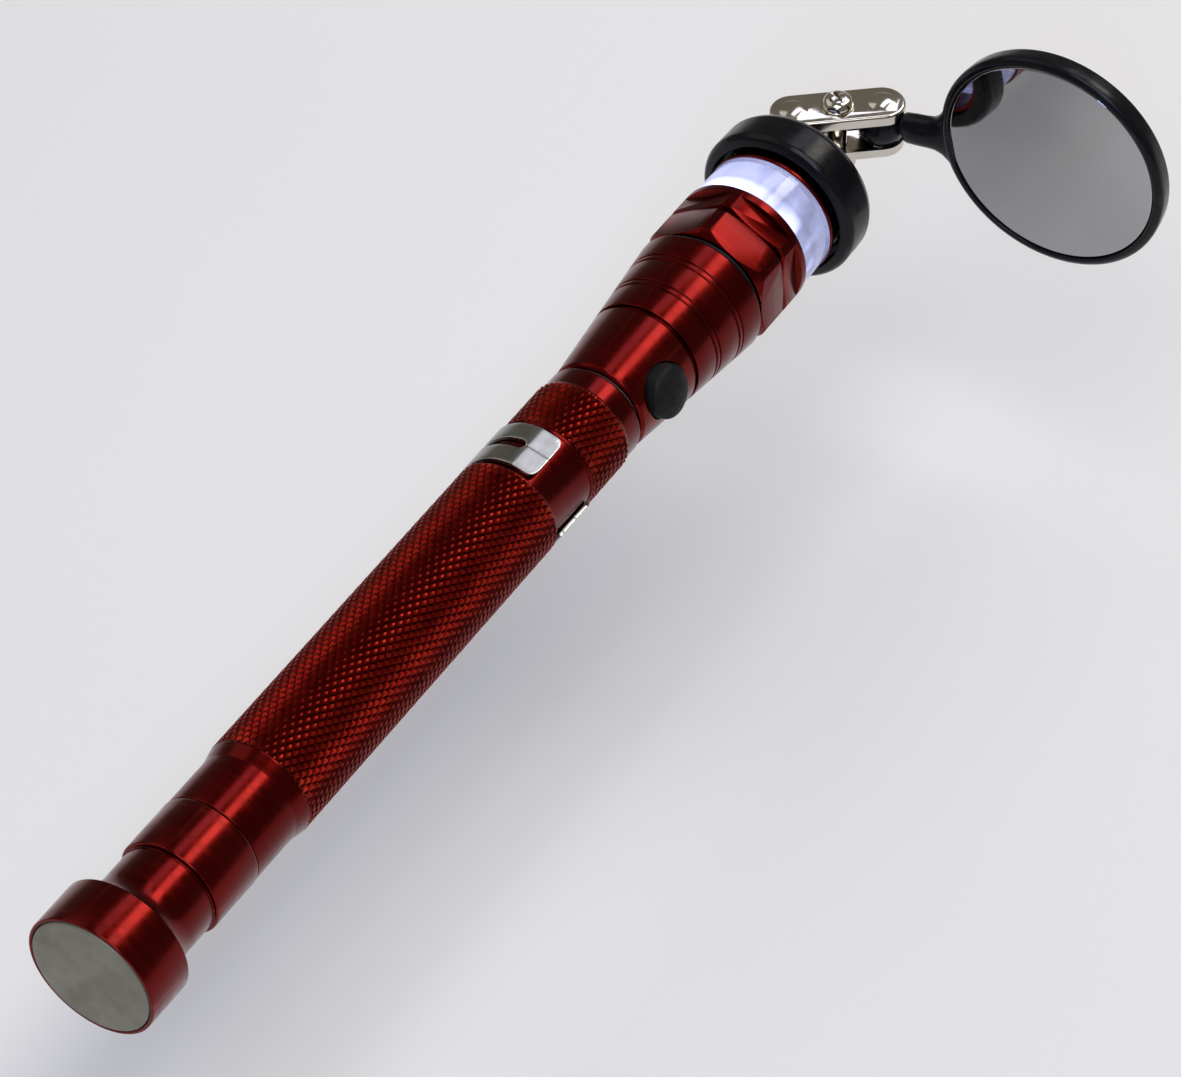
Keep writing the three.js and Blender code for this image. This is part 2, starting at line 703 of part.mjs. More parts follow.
// One clamp plate, drawn about the screw, with its rim turned down all round.
function clampPlate(side) {
  const half = BALL_SPACING / 2;
  const lipEdge = PLATE_OUTER - PLATE_LIP_DEPTH;
  const hollow = capsule(PLATE_HALF_WIDTH - PLATE_LIP_THICKNESS, lipEdge - 1, PLATE_INNER);
  let plate = capsule(PLATE_HALF_WIDTH, lipEdge, PLATE_OUTER).subtract(hollow);
  const above = toSolid(box(60, 60, 10, [0, 0, PLATE_INNER + 5]));
  for (const x of [-half, half]) {
    const dimple = new THREE.SphereGeometry(DIMPLE_RADIUS, BALL_SIDES, BALL_RINGS);
    dimple.translate(x, 0, 0);
    plate = plate.add(toSolid(dimple).intersect(above));
  }
  for (const x of [-half, half]) {
    const seat = new THREE.SphereGeometry(BALL_RADIUS + SEAT_GAP, BALL_SIDES, BALL_RINGS);
    seat.translate(x, 0, 0);
    plate = plate.subtract(toSolid(seat));
  }
  const screwHole = rod(-10, 10, SCREW_RADIUS + RUNNING_GAP);
  screwHole.rotateY(-Math.PI / 2);
  const geometry = toGeometry(plate.subtract(toSolid(screwHole)));
  if (side < 0) geometry.rotateX(Math.PI);
  return geometry;
}

function clampScrew() {
  const seat = PLATE_OUTER + RUNNING_GAP;
  const headRadius = 2.3;
  const tail = -6.9;
  const screw = turned([
    [tail, 0],
    [tail, SCREW_RADIUS],
    [seat, SCREW_RADIUS],
    [seat, headRadius],
    [seat + 0.9, headRadius],
    [seat + 1.5, headRadius * 0.75],
    [seat + 1.8, 0],
  ], SMALL_SEGMENTS);
  screw.rotateY(-Math.PI / 2);
  const slotLength = 2.9;
  const slotWidth = 0.7;
  const slotZ = seat + 1.8;
  const across = toSolid(box(slotLength, slotWidth, 2.2, [0, 0, slotZ]));
  const along = toSolid(box(slotWidth, slotLength, 2.2, [0, 0, slotZ]));
  return toGeometry(toSolid(screw).subtract(across.add(along)));
}

function clampNut() {
  const nutRadius = 3.1;
  const start = PLATE_OUTER + RUNNING_GAP;
  const end = start + 2.3;
  const blank = toSolid(rod(start, end, nutRadius, 6));
  const bore = toSolid(rod(start - 1, end + 1, SCREW_RADIUS + RUNNING_GAP));
  const nut = toGeometry(blank.subtract(bore));
  nut.rotateY(Math.PI / 2);
  return nut;
}

// ---------------------------------------------------------------- mirror
// Drawn with the ball at the origin, the neck along +X and the glass facing +Z.
function mirrorFrame() {
  const floor = GLASS_FRONT - GLASS_THICKNESS - 0.4;
  const recess = GLASS_RADIUS + 0.15;
  const dish = turned([
    [FRAME_BACK, 0],
    [FRAME_BACK, FRAME_RADIUS - 1.1],
    [FRAME_BACK + 0.5, FRAME_RADIUS - 0.25],
    [FRAME_FRONT - 0.6, FRAME_RADIUS],
    [FRAME_FRONT, FRAME_RADIUS - 0.7],
    [FRAME_FRONT, recess],
    [floor, recess],
    [floor, 0],
  ], MIRROR_SEGMENTS);
  dish.rotateY(-Math.PI / 2);
  dish.translate(MIRROR_REACH, 0, 0);

  const neckStart = 4.7;
  const neckStraight = neckStart + 1.6;
  const neckWidth = 2.5;
  const neckTipWidth = 1.9;
  const neckThickness = 3.0;
  const rimX = MIRROR_REACH - FRAME_RADIUS + 0.9;
  const rimWidth = 5.6;
  const outline = new THREE.Shape();
  outline.moveTo(neckStart, -neckTipWidth);
  outline.quadraticCurveTo(neckStart + 0.8, -neckWidth, neckStraight, -neckWidth);
  outline.quadraticCurveTo(rimX - 2.2, -neckWidth, rimX, -rimWidth);
  outline.lineTo(rimX, rimWidth);
  outline.quadraticCurveTo(rimX - 2.2, neckWidth, neckStraight, neckWidth);
  outline.quadraticCurveTo(neckStart + 0.8, neckWidth, neckStart, neckTipWidth);
  const web = new THREE.ExtrudeGeometry(outline, {
    depth: neckThickness,
    bevelEnabled: false,
    curveSegments: 8,
  });
  web.translate(0, 0, -neckThickness / 2);

  const pin = turned([
    [BALL_RADIUS - PIN_DEPTH, 0],
    [BALL_RADIUS - PIN_DEPTH, PIN_RADIUS],
    [BALL_RADIUS + SEAT_GAP, PIN_RADIUS],
    [BALL_RADIUS + SEAT_GAP, 1.3],
    [neckStart + 1.5, 1.4],
    [neckStart + 1.5, 0],
  ], SMALL_SEGMENTS);
  return toGeometry(toSolid(dish).add(toSolid(web)).add(toSolid(pin)));
}

function discOnMirror(startZ, endZ, radius) {
  const disc = rod(startZ, endZ, radius, MIRROR_SEGMENTS);
  disc.rotateY(-Math.PI / 2);
  disc.translate(MIRROR_REACH, 0, 0);
  return disc;
}

// ---------------------------------------------------------------- assembly
addPiece(tool, 'tail_magnet', tailMagnet(), 'magnetNickel');
addPiece(tool, 'tail_cap', tailCap(), 'redAnodised');
addPiece(tool, 'handle_tube', handleTube(), 'redAnodised');
addPiece(tool, 'pocket_clip', pocketClip(), 'springSteel');
addPiece(tool, 'rod_anchor_plug', anchorPlug(), 'nylon');
addPiece(tool, 'handle_front_bush', frontBush(), 'nylon');

for (let number = 0; number < TUBE_COUNT - 1; number += 1) {
  const name = number === 0 ? 'rod_tube_fixed' : `rod_tube_${number}`;
  addPiece(tool, name, rodTube(number), 'chrome');
}
addPiece(tool, 'rod_tip', rodTip(), 'chrome');

addPiece(tool, 'head_barrel', headBarrel(), 'redAnodised');
addPiece(tool, 'head_rear_plug', rearPlug(), 'nylon');
addPiece(tool, 'switch_block', switchBlock(), 'nylon');
addPiece(tool, 'push_button', pushButton(), 'blackRubber');
addPiece(tool, 'battery_spring', batterySpring(), 'springSteel');
addPiece(tool, 'battery_sleeve', batterySleeve(), 'nylon');
for (let number = 0; number < CELL_COUNT; number += 1) {
  addPiece(tool, `button_cell_${number + 1}`, buttonCell(number), 'chrome');
}
addPiece(tool, 'seal_ring', sealRing(), 'blackRubber');
addPiece(tool, 'hex_collar', hexCollar(), 'redAnodised');
addPiece(tool, 'led_board', ledBoard(), 'circuitBoard');
for (let number = 0; number < LED_COUNT; number += 1) {
  addPiece(tool, `led_${number + 1}`, led(number), 'ledEpoxy');
}
addPiece(tool, 'clear_lens', clearLens(), 'clearAcrylic');
addPiece(tool, 'front_magnet', frontMagnet(), 'magnetNickel');
addPiece(tool, 'front_cap', frontCap(), 'redAnodised');

const mirrorNeck = new THREE.Vector3(0, -Math.cos(MIRROR_LIFT), Math.sin(MIRROR_LIFT));
const bracketAxis = new THREE.Vector3(Math.cos(BRACKET_ANGLE), Math.sin(BRACKET_ANGLE), 0);
const ballB = BALL_A.clone().addScaledVector(bracketAxis, BALL_SPACING);

addPiece(tool, 'mirror_holder_ring', holderRing(), 'blackPlastic');
addPiece(tool, 'holder_ball', boredBall(BALL_A, postAxis.clone().negate()), 'blackPlastic');
addPiece(tool, 'mirror_ball', boredBall(ballB, mirrorNeck), 'blackPlastic');

const bracket = new THREE.Group();
bracket.position.copy(BALL_A).addScaledVector(bracketAxis, BALL_SPACING / 2);
bracket.rotation.z = BRACKET_ANGLE;
addPiece(bracket, 'bracket_top_plate', clampPlate(1), 'chrome');
addPiece(bracket, 'bracket_bottom_plate', clampPlate(-1), 'chrome');
addPiece(bracket, 'clamp_screw', clampScrew(), 'chrome');
addPiece(bracket, 'clamp_nut', clampNut(), 'chrome');
tool.add(bracket);

// The neck runs out and a little up, and the glass faces back along -X.
const glassNormal = new THREE.Vector3(-1, 0, 0);
const mirror = new THREE.Group();
const mirrorBasis = new THREE.Matrix4().makeBasis(
  mirrorNeck,
  glassNormal.clone().cross(mirrorNeck),
  glassNormal,
);
mirror.quaternion.setFromRotationMatrix(mirrorBasis);
mirror.position.copy(ballB);
const padBack = GLASS_FRONT - GLASS_THICKNESS - 0.3;
addPiece(mirror, 'mirror_frame', mirrorFrame(), 'blackPlastic');
addPiece(mirror, 'mirror_pad', discOnMirror(padBack, padBack + PAD_THICKNESS, PAD_RADIUS), 'foam');
addPiece(mirror, 'mirror_glass', discOnMirror(GLASS_FRONT - GLASS_THICKNESS, GLASS_FRONT, GLASS_RADIUS),
  'mirrorSilver');
tool.add(mirror);

export default tool;
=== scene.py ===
"""Telescoping inspection mirror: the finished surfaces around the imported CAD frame.

Outlines are in millimetres, [x, radius] along the tool, and become metres when a mesh is made.
"""
import json
import math

import bmesh
import bpy
from mathutils import Matrix, Vector


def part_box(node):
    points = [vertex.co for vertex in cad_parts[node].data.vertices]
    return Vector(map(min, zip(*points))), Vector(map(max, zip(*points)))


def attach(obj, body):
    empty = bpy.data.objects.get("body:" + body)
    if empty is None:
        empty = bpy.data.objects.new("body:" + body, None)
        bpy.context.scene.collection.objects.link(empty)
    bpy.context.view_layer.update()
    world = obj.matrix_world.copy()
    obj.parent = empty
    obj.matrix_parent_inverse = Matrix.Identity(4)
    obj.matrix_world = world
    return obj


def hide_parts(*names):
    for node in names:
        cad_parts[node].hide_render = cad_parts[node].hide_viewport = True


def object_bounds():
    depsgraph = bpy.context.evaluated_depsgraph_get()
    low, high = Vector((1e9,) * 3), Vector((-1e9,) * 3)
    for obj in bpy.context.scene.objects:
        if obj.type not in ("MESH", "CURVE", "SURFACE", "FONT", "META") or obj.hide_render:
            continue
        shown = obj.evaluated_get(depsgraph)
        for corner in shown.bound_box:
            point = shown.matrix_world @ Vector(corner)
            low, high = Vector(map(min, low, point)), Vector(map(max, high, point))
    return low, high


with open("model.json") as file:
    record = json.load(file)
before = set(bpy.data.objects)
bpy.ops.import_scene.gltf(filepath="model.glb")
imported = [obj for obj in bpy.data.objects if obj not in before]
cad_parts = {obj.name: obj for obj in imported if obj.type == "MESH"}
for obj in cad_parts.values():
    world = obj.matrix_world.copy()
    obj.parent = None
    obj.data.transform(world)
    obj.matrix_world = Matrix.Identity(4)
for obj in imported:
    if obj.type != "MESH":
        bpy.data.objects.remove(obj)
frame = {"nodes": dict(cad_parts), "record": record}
CAD_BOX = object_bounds()
MM = 0.001
RECORD = frame["record"]
NODE_BODY = {n: b for b, members in RECORD["behaviour"]["bodies"].items() for n in members}


# ---------------------------------------------------------------- places from the frame
def span(node):
    """First and last station of a node along X, in mm."""
    low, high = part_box(node)
    return low[0] / MM, high[0] / MM


def outer_radius(node):
    """Half of a node's height, in mm."""
    low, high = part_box(node)
    return (high[2] - low[2]) / 2 / MM


def centre(node):
    low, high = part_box(node)
    return (Vector(low) + Vector(high)) / 2 / MM


# ---------------------------------------------------------------- mesh helpers
def rounded(outline, radius, steps=3):
    """Rounds each corner of an outline. Ends on the axis stay, and a closed one closes again."""
    closed = outline[0] == outline[-1]
    points = [Vector(p) for p in (outline[:-1] if closed else outline)]
    count = len(points)
    result = []
    for i, point in enumerate(points):
        if not closed and i in (0, count - 1):
            result.append(tuple(point))
            continue
        before = points[i - 1] - point
        after = points[(i + 1) % count] - point
        cut = min(radius, before.length * 0.45, after.length * 0.45)
        start = point + before.normalized() * cut
        end = point + after.normalized() * cut
        for k in range(steps + 1):
            t = k / steps
            result.append(tuple(start * (1 - t) ** 2 + point * 2 * t * (1 - t) + end * t * t))
    if closed:
        result.append(result[0])
    return result


def finish_mesh(name, bm, smooth_angle=35):
    """Turns a bmesh in mm into an object in metres, facing out, smooth across shallow edges."""
    bmesh.ops.remove_doubles(bm, verts=bm.verts, dist=1e-5)
    bmesh.ops.recalc_face_normals(bm, faces=bm.faces)
    mesh = bpy.data.meshes.new(name)
    bm.to_mesh(mesh)
    bm.free()
    mesh.transform(Matrix.Scale(MM, 4))
    obj = bpy.data.objects.new(name, mesh)
    bpy.context.scene.collection.objects.link(obj)
    shade(obj, smooth_angle)
    return obj


def shade(obj, angle=35):
    """Smooth across edges shallower than an angle in degrees, or flat everywhere for 0."""
    mesh = obj.data
    mesh.polygons.foreach_set("use_smooth", [angle > 0] * len(mesh.polygons))
    if angle > 0:
        bm = bmesh.new()
        bm.from_mesh(mesh)
        limit = math.radians(angle)
        for edge in bm.edges:
            edge.smooth = len(edge.link_faces) != 2 or edge.calc_face_angle(0) < limit
        bm.to_mesh(mesh)
        bm.free()


def lathe_bmesh(outline, segments):
    """A solid of revolution about X. Points at radius 0 become one vertex."""
    bm = bmesh.new()
    rings = []
    for x, radius in outline:
        if radius <= 1e-6:
            rings.append([bm.verts.new((x, 0, 0))])
            continue
        ring = []
        for i in range(segments):
            angle = 2 * math.pi * i / segments
            ring.append(bm.verts.new((x, radius * math.cos(angle), radius * math.sin(angle))))
        rings.append(ring)
    for low, high in zip(rings, rings[1:]):
        for i in range(segments):
            j = (i + 1) % segments
            corners = [low[i % len(low)], low[j % len(low)], high[j % len(high)], high[i % len(high)]]
            face = list(dict.fromkeys(corners))
            if len(face) > 2:
                bm.faces.new(face)
    return bm


def lathe(name, outline, segments=128, bevel=0.12, steps=3):
    return finish_mesh(name, lathe_bmesh(rounded(outline, bevel, steps), segments))


def closed(outline):
    return [*outline, outline[0]]


def move(obj, origin, direction):
    """Lays a piece drawn along +X at an origin in mm, along a direction."""
    turn = Vector((1, 0, 0)).rotation_difference(Vector(direction)).to_matrix().to_4x4()
    obj.data.transform(Matrix.Translation(Vector(origin) * MM) @ turn)
    return obj


def combine(obj, other, operation):
    """Cuts or joins another object into obj, which keeps the result as its own mesh."""
    modifier = obj.modifiers.new("cut", "BOOLEAN")
    modifier.operation = operation
    modifier.solver = "EXACT"
    modifier.object = other
    graph = bpy.context.evaluated_depsgraph_get()
    result = bpy.data.meshes.new_from_object(obj.evaluated_get(graph))
    obj.modifiers.clear()
    obj.data = result
    bpy.data.objects.remove(other)
    return obj


def join(first, *others):
    """Puts other meshes into the first one's object."""
    bm = bmesh.new()
    bm.from_mesh(first.data)
    for other in others:
        bm.from_mesh(other.data)
        bpy.data.objects.remove(other)
    bm.to_mesh(first.data)
    bm.free()
    return first


def block(size, at):
    """A plain box, used to cut other pieces."""
    bm = bmesh.new()
    bmesh.ops.create_cube(bm, size=1.0)
    bmesh.ops.scale(bm, vec=Vector(size), verts=bm.verts)
    bmesh.ops.translate(bm, vec=Vector(at), verts=bm.verts)
    return finish_mesh("block", bm, 0)


def ball(name, radius, at, cuts=4):
    bm = bmesh.new()
    bmesh.ops.create_icosphere(bm, subdivisions=cuts, radius=radius)
    bmesh.ops.translate(bm, vec=Vector(at), verts=bm.verts)
    return finish_mesh(name, bm)


def bevel_edges(obj, width, segments=2, angle=30):
    """Breaks the edges sharper than an angle in degrees. The width is in mm."""
    modifier = obj.modifiers.new("edge", "BEVEL")
    modifier.width = width * MM
    modifier.segments = segments
    modifier.limit_method = "ANGLE"
    modifier.angle_limit = math.radians(angle)
    modifier.harden_normals = False
    graph = bpy.context.evaluated_depsgraph_get()
    result = bpy.data.meshes.new_from_object(obj.evaluated_get(graph))
    obj.modifiers.clear()
    obj.data = result
    shade(obj)
    return obj


# ---------------------------------------------------------------- material helpers
class Finish:
    """A node material with its Principled shader and object-space coordinates."""

    def __init__(self, name, color, metallic, roughness):
        self.material = bpy.data.materials.new(name)
        self.material.use_nodes = True
        self.nodes = self.material.node_tree.nodes
        self.links = self.material.node_tree.links
        self.shader = self.nodes["Principled BSDF"]
        self.shader.inputs["Base Color"].default_value = (*color, 1)
        self.shader.inputs["Metallic"].default_value = metallic
        self.shader.inputs["Roughness"].default_value = roughness
        self.color = color
        self.coordinates = self.nodes.new("ShaderNodeTexCoord").outputs["Object"]

    def noise(self, scale, detail=4.0, stretch=(1, 1, 1)):
        mapping = self.nodes.new("ShaderNodeMapping")
        mapping.inputs["Scale"].default_value = stretch
        self.links.new(self.coordinates, mapping.inputs["Vector"])
        texture = self.nodes.new("ShaderNodeTexNoise")
        texture.inputs["Scale"].default_value = scale
        texture.inputs["Detail"].default_value = detail
        self.links.new(mapping.outputs["Vector"], texture.inputs["Vector"])
        return texture.outputs["Fac"]

    def spread(self, value, low, high, start=0.3, end=0.7):
        ranger = self.nodes.new("ShaderNodeMapRange")
        ranger.inputs["From Min"].default_value = start
        ranger.inputs["From Max"].default_value = end
        ranger.inputs["To Min"].default_value = low
        ranger.inputs["To Max"].default_value = high
        self.links.new(value, ranger.inputs["Value"])
        return ranger.outputs["Result"]

    def vary_roughness(self, value, low, high):
        self.links.new(self.spread(value, low, high), self.shader.inputs["Roughness"])
        return self

    def vary_color(self, value, other, amount=1.0, start=0.35, end=0.7):
        """Mixes another colour over what the base colour already is."""
        mix = self.nodes.new("ShaderNodeMix")
        mix.data_type = "RGBA"
        mix.inputs["A"].default_value = (*self.color, 1)
        if self.shader.inputs["Base Color"].is_linked:
            self.links.new(self.shader.inputs["Base Color"].links[0].from_socket, mix.inputs["A"])
        mix.inputs["B"].default_value = (*other, 1)
        self.links.new(self.spread(value, 0.0, amount, start, end), mix.inputs["Factor"])
        self.links.new(mix.outputs["Result"], self.shader.inputs["Base Color"])
        return self

    def bump(self, value, strength, distance):
        node = self.nodes.new("ShaderNodeBump")
        node.inputs["Strength"].default_value = strength
        node.inputs["Distance"].default_value = distance
        self.links.new(value, node.inputs["Height"])
        self.links.new(node.outputs["Normal"], self.shader.inputs["Normal"])
        return self

    def edge_wear_and_highlight(self, other, amount=0.5, start=0.52, end=0.60):
        """Another colour on the convex edges: edge wear, and on the red finishes a painted highlight."""
        convexity = self.nodes.new("ShaderNodeNewGeometry").outputs["Pointiness"]
        return self.vary_color(convexity, other, amount, start, end)

    def along(self, first, last):
        """0 to 1 between two stations along the tool, in mm."""
        split = self.nodes.new("ShaderNodeSeparateXYZ")
        self.links.new(self.coordinates, split.inputs["Vector"])
        return self.spread(split.outputs["X"], 0.0, 1.0, first * MM, last * MM)

    def product(self, first, second):
        node = self.nodes.new("ShaderNodeMath")
        node.operation = "MULTIPLY"
        self.links.new(first, node.inputs[0])
        self.links.new(second, node.inputs[1])
        return node.outputs["Value"]

    def set(self, **values):
        for key, value in values.items():
            self.shader.inputs[key.replace("_", " ")].default_value = value
        return self


TURNED = (1.0, 0.03, 0.03)      # stretches a noise into rings round the X axis


def red_anodised():
    finish = Finish("red_anodised", (0.100, 0.0028, 0.0022), 1.0, 0.22)
    finish.vary_roughness(finish.noise(900, 5, TURNED), 0.17, 0.30)
    finish.vary_color(finish.noise(70, 3), (0.130, 0.0045, 0.0035))
    # painted highlight: a lighter red on the convex edges, standing in for the light they catch
    finish.edge_wear_and_highlight((0.30, 0.035, 0.02), 0.5)
    finish.bump(finish.noise(6000, 2, TURNED), 0.12, 0.00002)
    finish.set(Coat_Weight=0.06, Coat_Roughness=0.12)
    return finish.material


def knurled_red():
    finish = Finish("knurled_red", (0.125, 0.0035, 0.0025), 1.0, 0.30)
    finish.vary_roughness(finish.noise(1500, 4), 0.24, 0.40)
    finish.vary_color(finish.noise(300, 3), (0.17, 0.007, 0.003))
    # painted highlight and shade: knurl diamond tops a lighter red than the valleys
    finish.edge_wear_and_highlight((0.27, 0.025, 0.014), 0.5, 0.51, 0.58)
    finish.bump(finish.noise(9000, 3), 0.15, 0.00002)
    return finish.material


def magnet_plate():
    finish = Finish("magnet_plate", (0.23, 0.22, 0.17), 0.35, 0.5)
    finish.vary_roughness(finish.noise(500, 5), 0.42, 0.62)
    finish.vary_color(finish.noise(120, 4), (0.17, 0.16, 0.115))
    finish.bump(finish.noise(3500, 4), 0.2, 0.00003)
    return finish.material


def chrome_plate():
    finish = Finish("chrome_plate", (0.64, 0.60, 0.53), 1.0, 0.12)
    finish.vary_roughness(finish.noise(600, 5), 0.08, 0.2)
    finish.vary_color(finish.noise(160, 3), (0.52, 0.48, 0.42), 0.6)
    finish.bump(finish.noise(1800, 3), 0.05, 0.00002)
    return finish.material


def rod_chrome():
    finish = Finish("rod_chrome", (0.78, 0.79, 0.80), 1.0, 0.1)
    finish.vary_roughness(finish.noise(800, 4, TURNED), 0.06, 0.16)
    finish.bump(finish.noise(5000, 2, TURNED), 0.06, 0.00001)
    return finish.material


def spring_steel():
    finish = Finish("spring_steel", (0.38, 0.38, 0.36), 1.0, 0.25)
    finish.vary_roughness(finish.noise(500, 5, (0.1, 1, 1)), 0.18, 0.36)
    finish.vary_color(finish.noise(200, 3), (0.27, 0.27, 0.25))
    finish.edge_wear_and_highlight((0.75, 0.75, 0.73), 0.7)
    finish.bump(finish.noise(4000, 3, (0.05, 1, 1)), 0.08, 0.00002)
    return finish.material


def black_plastic():
    finish = Finish("black_plastic", (0.0035, 0.0035, 0.005), 0.0, 0.2)
    finish.vary_roughness(finish.noise(700, 4), 0.16, 0.30)
    finish.vary_color(finish.noise(150, 3), (0.006, 0.006, 0.009))
    finish.edge_wear_and_highlight((0.03, 0.03, 0.034), 0.5)
    finish.bump(finish.noise(2500, 4), 0.10, 0.00003)
    finish.set(Specular_IOR_Level=0.18)
    return finish.material


def black_rubber():
    finish = Finish("black_rubber", (0.004, 0.0045, 0.0045), 0.0, 0.5)
    finish.vary_roughness(finish.noise(900, 4), 0.45, 0.7)
    finish.vary_color(finish.noise(300, 3), (0.010, 0.011, 0.011))
    finish.bump(finish.noise(5000, 4), 0.25, 0.00004)
    finish.set(Specular_IOR_Level=0.15)
    return finish.material


def clear_acrylic():
    finish = Finish("clear_acrylic", (0.80, 0.84, 1.0), 0.0, 0.08)
    finish.vary_roughness(finish.noise(260, 4), 0.05, 0.16)
    finish.bump(finish.noise(220, 3), 0.15, 0.0002)
    finish.set(Transmission_Weight=0.75, IOR=1.49)
    finish.set(Emission_Color=(0.50, 0.52, 1.0, 1), Emission_Strength=0.05)
    return finish.material


def lit_core():
    """The light guide glows most beside the collar, in streaks."""
    finish = Finish("lit_core", (0.34, 0.35, 0.50), 0.0, 0.3)
    streaks = finish.spread(finish.noise(140, 3, (0.5, 1, 1)), 0.10, 1.15, 0.42, 0.60)
    fade = finish.spread(finish.along(COLLAR_END + 0.3, COLLAR_END + 3.0), 3.6, 0.68, 0.0, 1.0)
    finish.links.new(finish.product(streaks, fade), finish.shader.inputs["Emission Strength"])
    finish.set(Emission_Color=(0.60, 0.63, 1.0, 1))
    finish.vary_roughness(finish.noise(500, 3), 0.25, 0.45)
    return finish.material


def led_epoxy():
    finish = Finish("led_epoxy", (0.9, 0.92, 1.0), 0.0, 0.12)
    finish.vary_roughness(finish.noise(900, 3), 0.08, 0.2)
    finish.vary_color(finish.noise(400, 2), (0.8, 0.84, 1.0))
    finish.set(Emission_Color=(0.8, 0.86, 1.0, 1), Emission_Strength=3.0)
    return finish.material


def circuit_board():
    finish = Finish("circuit_board", (0.02, 0.12, 0.05), 0.0, 0.4)
    finish.vary_color(finish.noise(900, 2), (0.03, 0.2, 0.08))
    finish.vary_roughness(finish.noise(500, 3), 0.3, 0.5)
    return finish.material


def nylon():
    finish = Finish("nylon", (0.62, 0.59, 0.50), 0.0, 0.5)
    finish.vary_color(finish.noise(250, 3), (0.55, 0.52, 0.43))
    finish.vary_roughness(finish.noise(900, 3), 0.42, 0.6)
    finish.bump(finish.noise(3000, 3), 0.1, 0.00003)
    return finish.material


def cell_steel():
    finish = Finish("cell_steel", (0.6, 0.6, 0.58), 1.0, 0.25)
    finish.vary_roughness(finish.noise(700, 4), 0.18, 0.35)
    finish.vary_color(finish.noise(300, 3), (0.5, 0.5, 0.47))
    return finish.material


def mirror_silver():
    finish = Finish("mirror_silver", (0.42, 0.42, 0.42), 1.0, 0.03)
    finish.vary_roughness(finish.noise(120, 4), 0.015, 0.06)
    finish.vary_color(finish.noise(60, 4), (0.36, 0.36, 0.36), 0.7)
    return finish.material


def foam_tape():
    finish = Finish("foam_tape", (0.03, 0.03, 0.032), 0.0, 0.9)
    finish.vary_color(finish.noise(1500, 3), (0.06, 0.06, 0.062))
    finish.bump(finish.noise(4000, 3), 0.4, 0.0001)
    return finish.material


def floor_paper():
    finish = Finish("floor_paper", (0.86, 0.86, 0.86), 0.0, 0.7)
    finish.vary_color(finish.noise(3, 3), (0.84, 0.84, 0.84))
    return finish.material


COLLAR_START, COLLAR_END = span("hex_collar")     # the light guide's glow starts at the collar

RED = red_anodised()
KNURL = knurled_red()
MAGNET = magnet_plate()
CHROME = chrome_plate()
ROD = rod_chrome()
SPRING = spring_steel()
PLASTIC = black_plastic()
RUBBER = black_rubber()
ACRYLIC = clear_acrylic()
CORE = lit_core()
LED = led_epoxy()
BOARD = circuit_board()
NYLON = nylon()
CELL = cell_steel()
MIRROR = mirror_silver()
FOAM = foam_tape()


def paint(obj, material):
    obj.data.materials.clear()
    obj.data.materials.append(material)


def add_piece(obj, node, material, replaced=True):
    """The piece takes the given finish and the body of a CAD node, and stands for it when replaced."""
    paint(obj, material)
    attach(obj, NODE_BODY[node])
    if replaced:
        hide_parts(node)
    return obj


# ---------------------------------------------------------------- tail
HANDLE_RADIUS = outer_radius("handle_tube")
FLANGE_RADIUS = outer_radius("tail_cap")
FLANGE_END = 7.9
NECK_RADIUS = 0.88 * HANDLE_RADIUS
NECK_START = 12.0
NECK_END = 16.9
BAND_RADIUS = 0.945 * HANDLE_RADIUS
GRIP_RADIUS = 0.935 * HANDLE_RADIUS
HANDLE_START, HANDLE_END = span("handle_tube")
MAGNET_RADIUS = outer_radius("tail_magnet")
TAIL_SPIGOT_RADIUS = 6.4
LINE_DEPTH = 0.15               # the turned line between neck and band
LINE_WIDTH = 0.35


def hollow_fillet(start, end, steps=10):
    """A concave quarter from the flange down into the neck."""
    points = []
    for i in range(steps + 1):
        angle = math.pi / 2 * i / steps
        x = start[0] + (end[0] - start[0]) * (1 - math.cos(angle))
        r = start[1] + (end[1] - start[1]) * math.sin(angle)
        points.append((x, r))
    return points


def tail():
    magnet_end = span("tail_magnet")[1]
    disc = lathe("tail_magnet_disc", [
        (0, 0), (0, MAGNET_RADIUS), (magnet_end, MAGNET_RADIUS), (magnet_end, 0),
    ], bevel=0.35)
    add_piece(disc, "tail_magnet", MAGNET)
    start, end = span("tail_cap")
    lip = MAGNET_RADIUS + 0.1
    line_end = NECK_END + LINE_WIDTH
    cap = lathe("tail_cap_turned", [
        (magnet_end + 0.1, 0), (magnet_end + 0.1, lip), (start, lip), (start, FLANGE_RADIUS),
        *hollow_fillet((FLANGE_END, FLANGE_RADIUS), (NECK_START, NECK_RADIUS)),
        (NECK_END, NECK_RADIUS), (NECK_END, NECK_RADIUS - LINE_DEPTH), (line_end, NECK_RADIUS - LINE_DEPTH),
        (line_end, BAND_RADIUS), (HANDLE_START - 0.1, BAND_RADIUS),
        (HANDLE_START - 0.1, TAIL_SPIGOT_RADIUS), (end, TAIL_SPIGOT_RADIUS), (end, 0),
    ], bevel=0.3)
    add_piece(cap, "tail_cap", RED)


# ---------------------------------------------------------------- knurling
KNURL_STARTS = 44               # helical grooves each way
KNURL_PITCH = 2.0               # one diamond's length along the tool, mm
KNURL_DEPTH = 0.32
KNURL_TOP = 0.34                # flat top of a diamond, as a part of its width


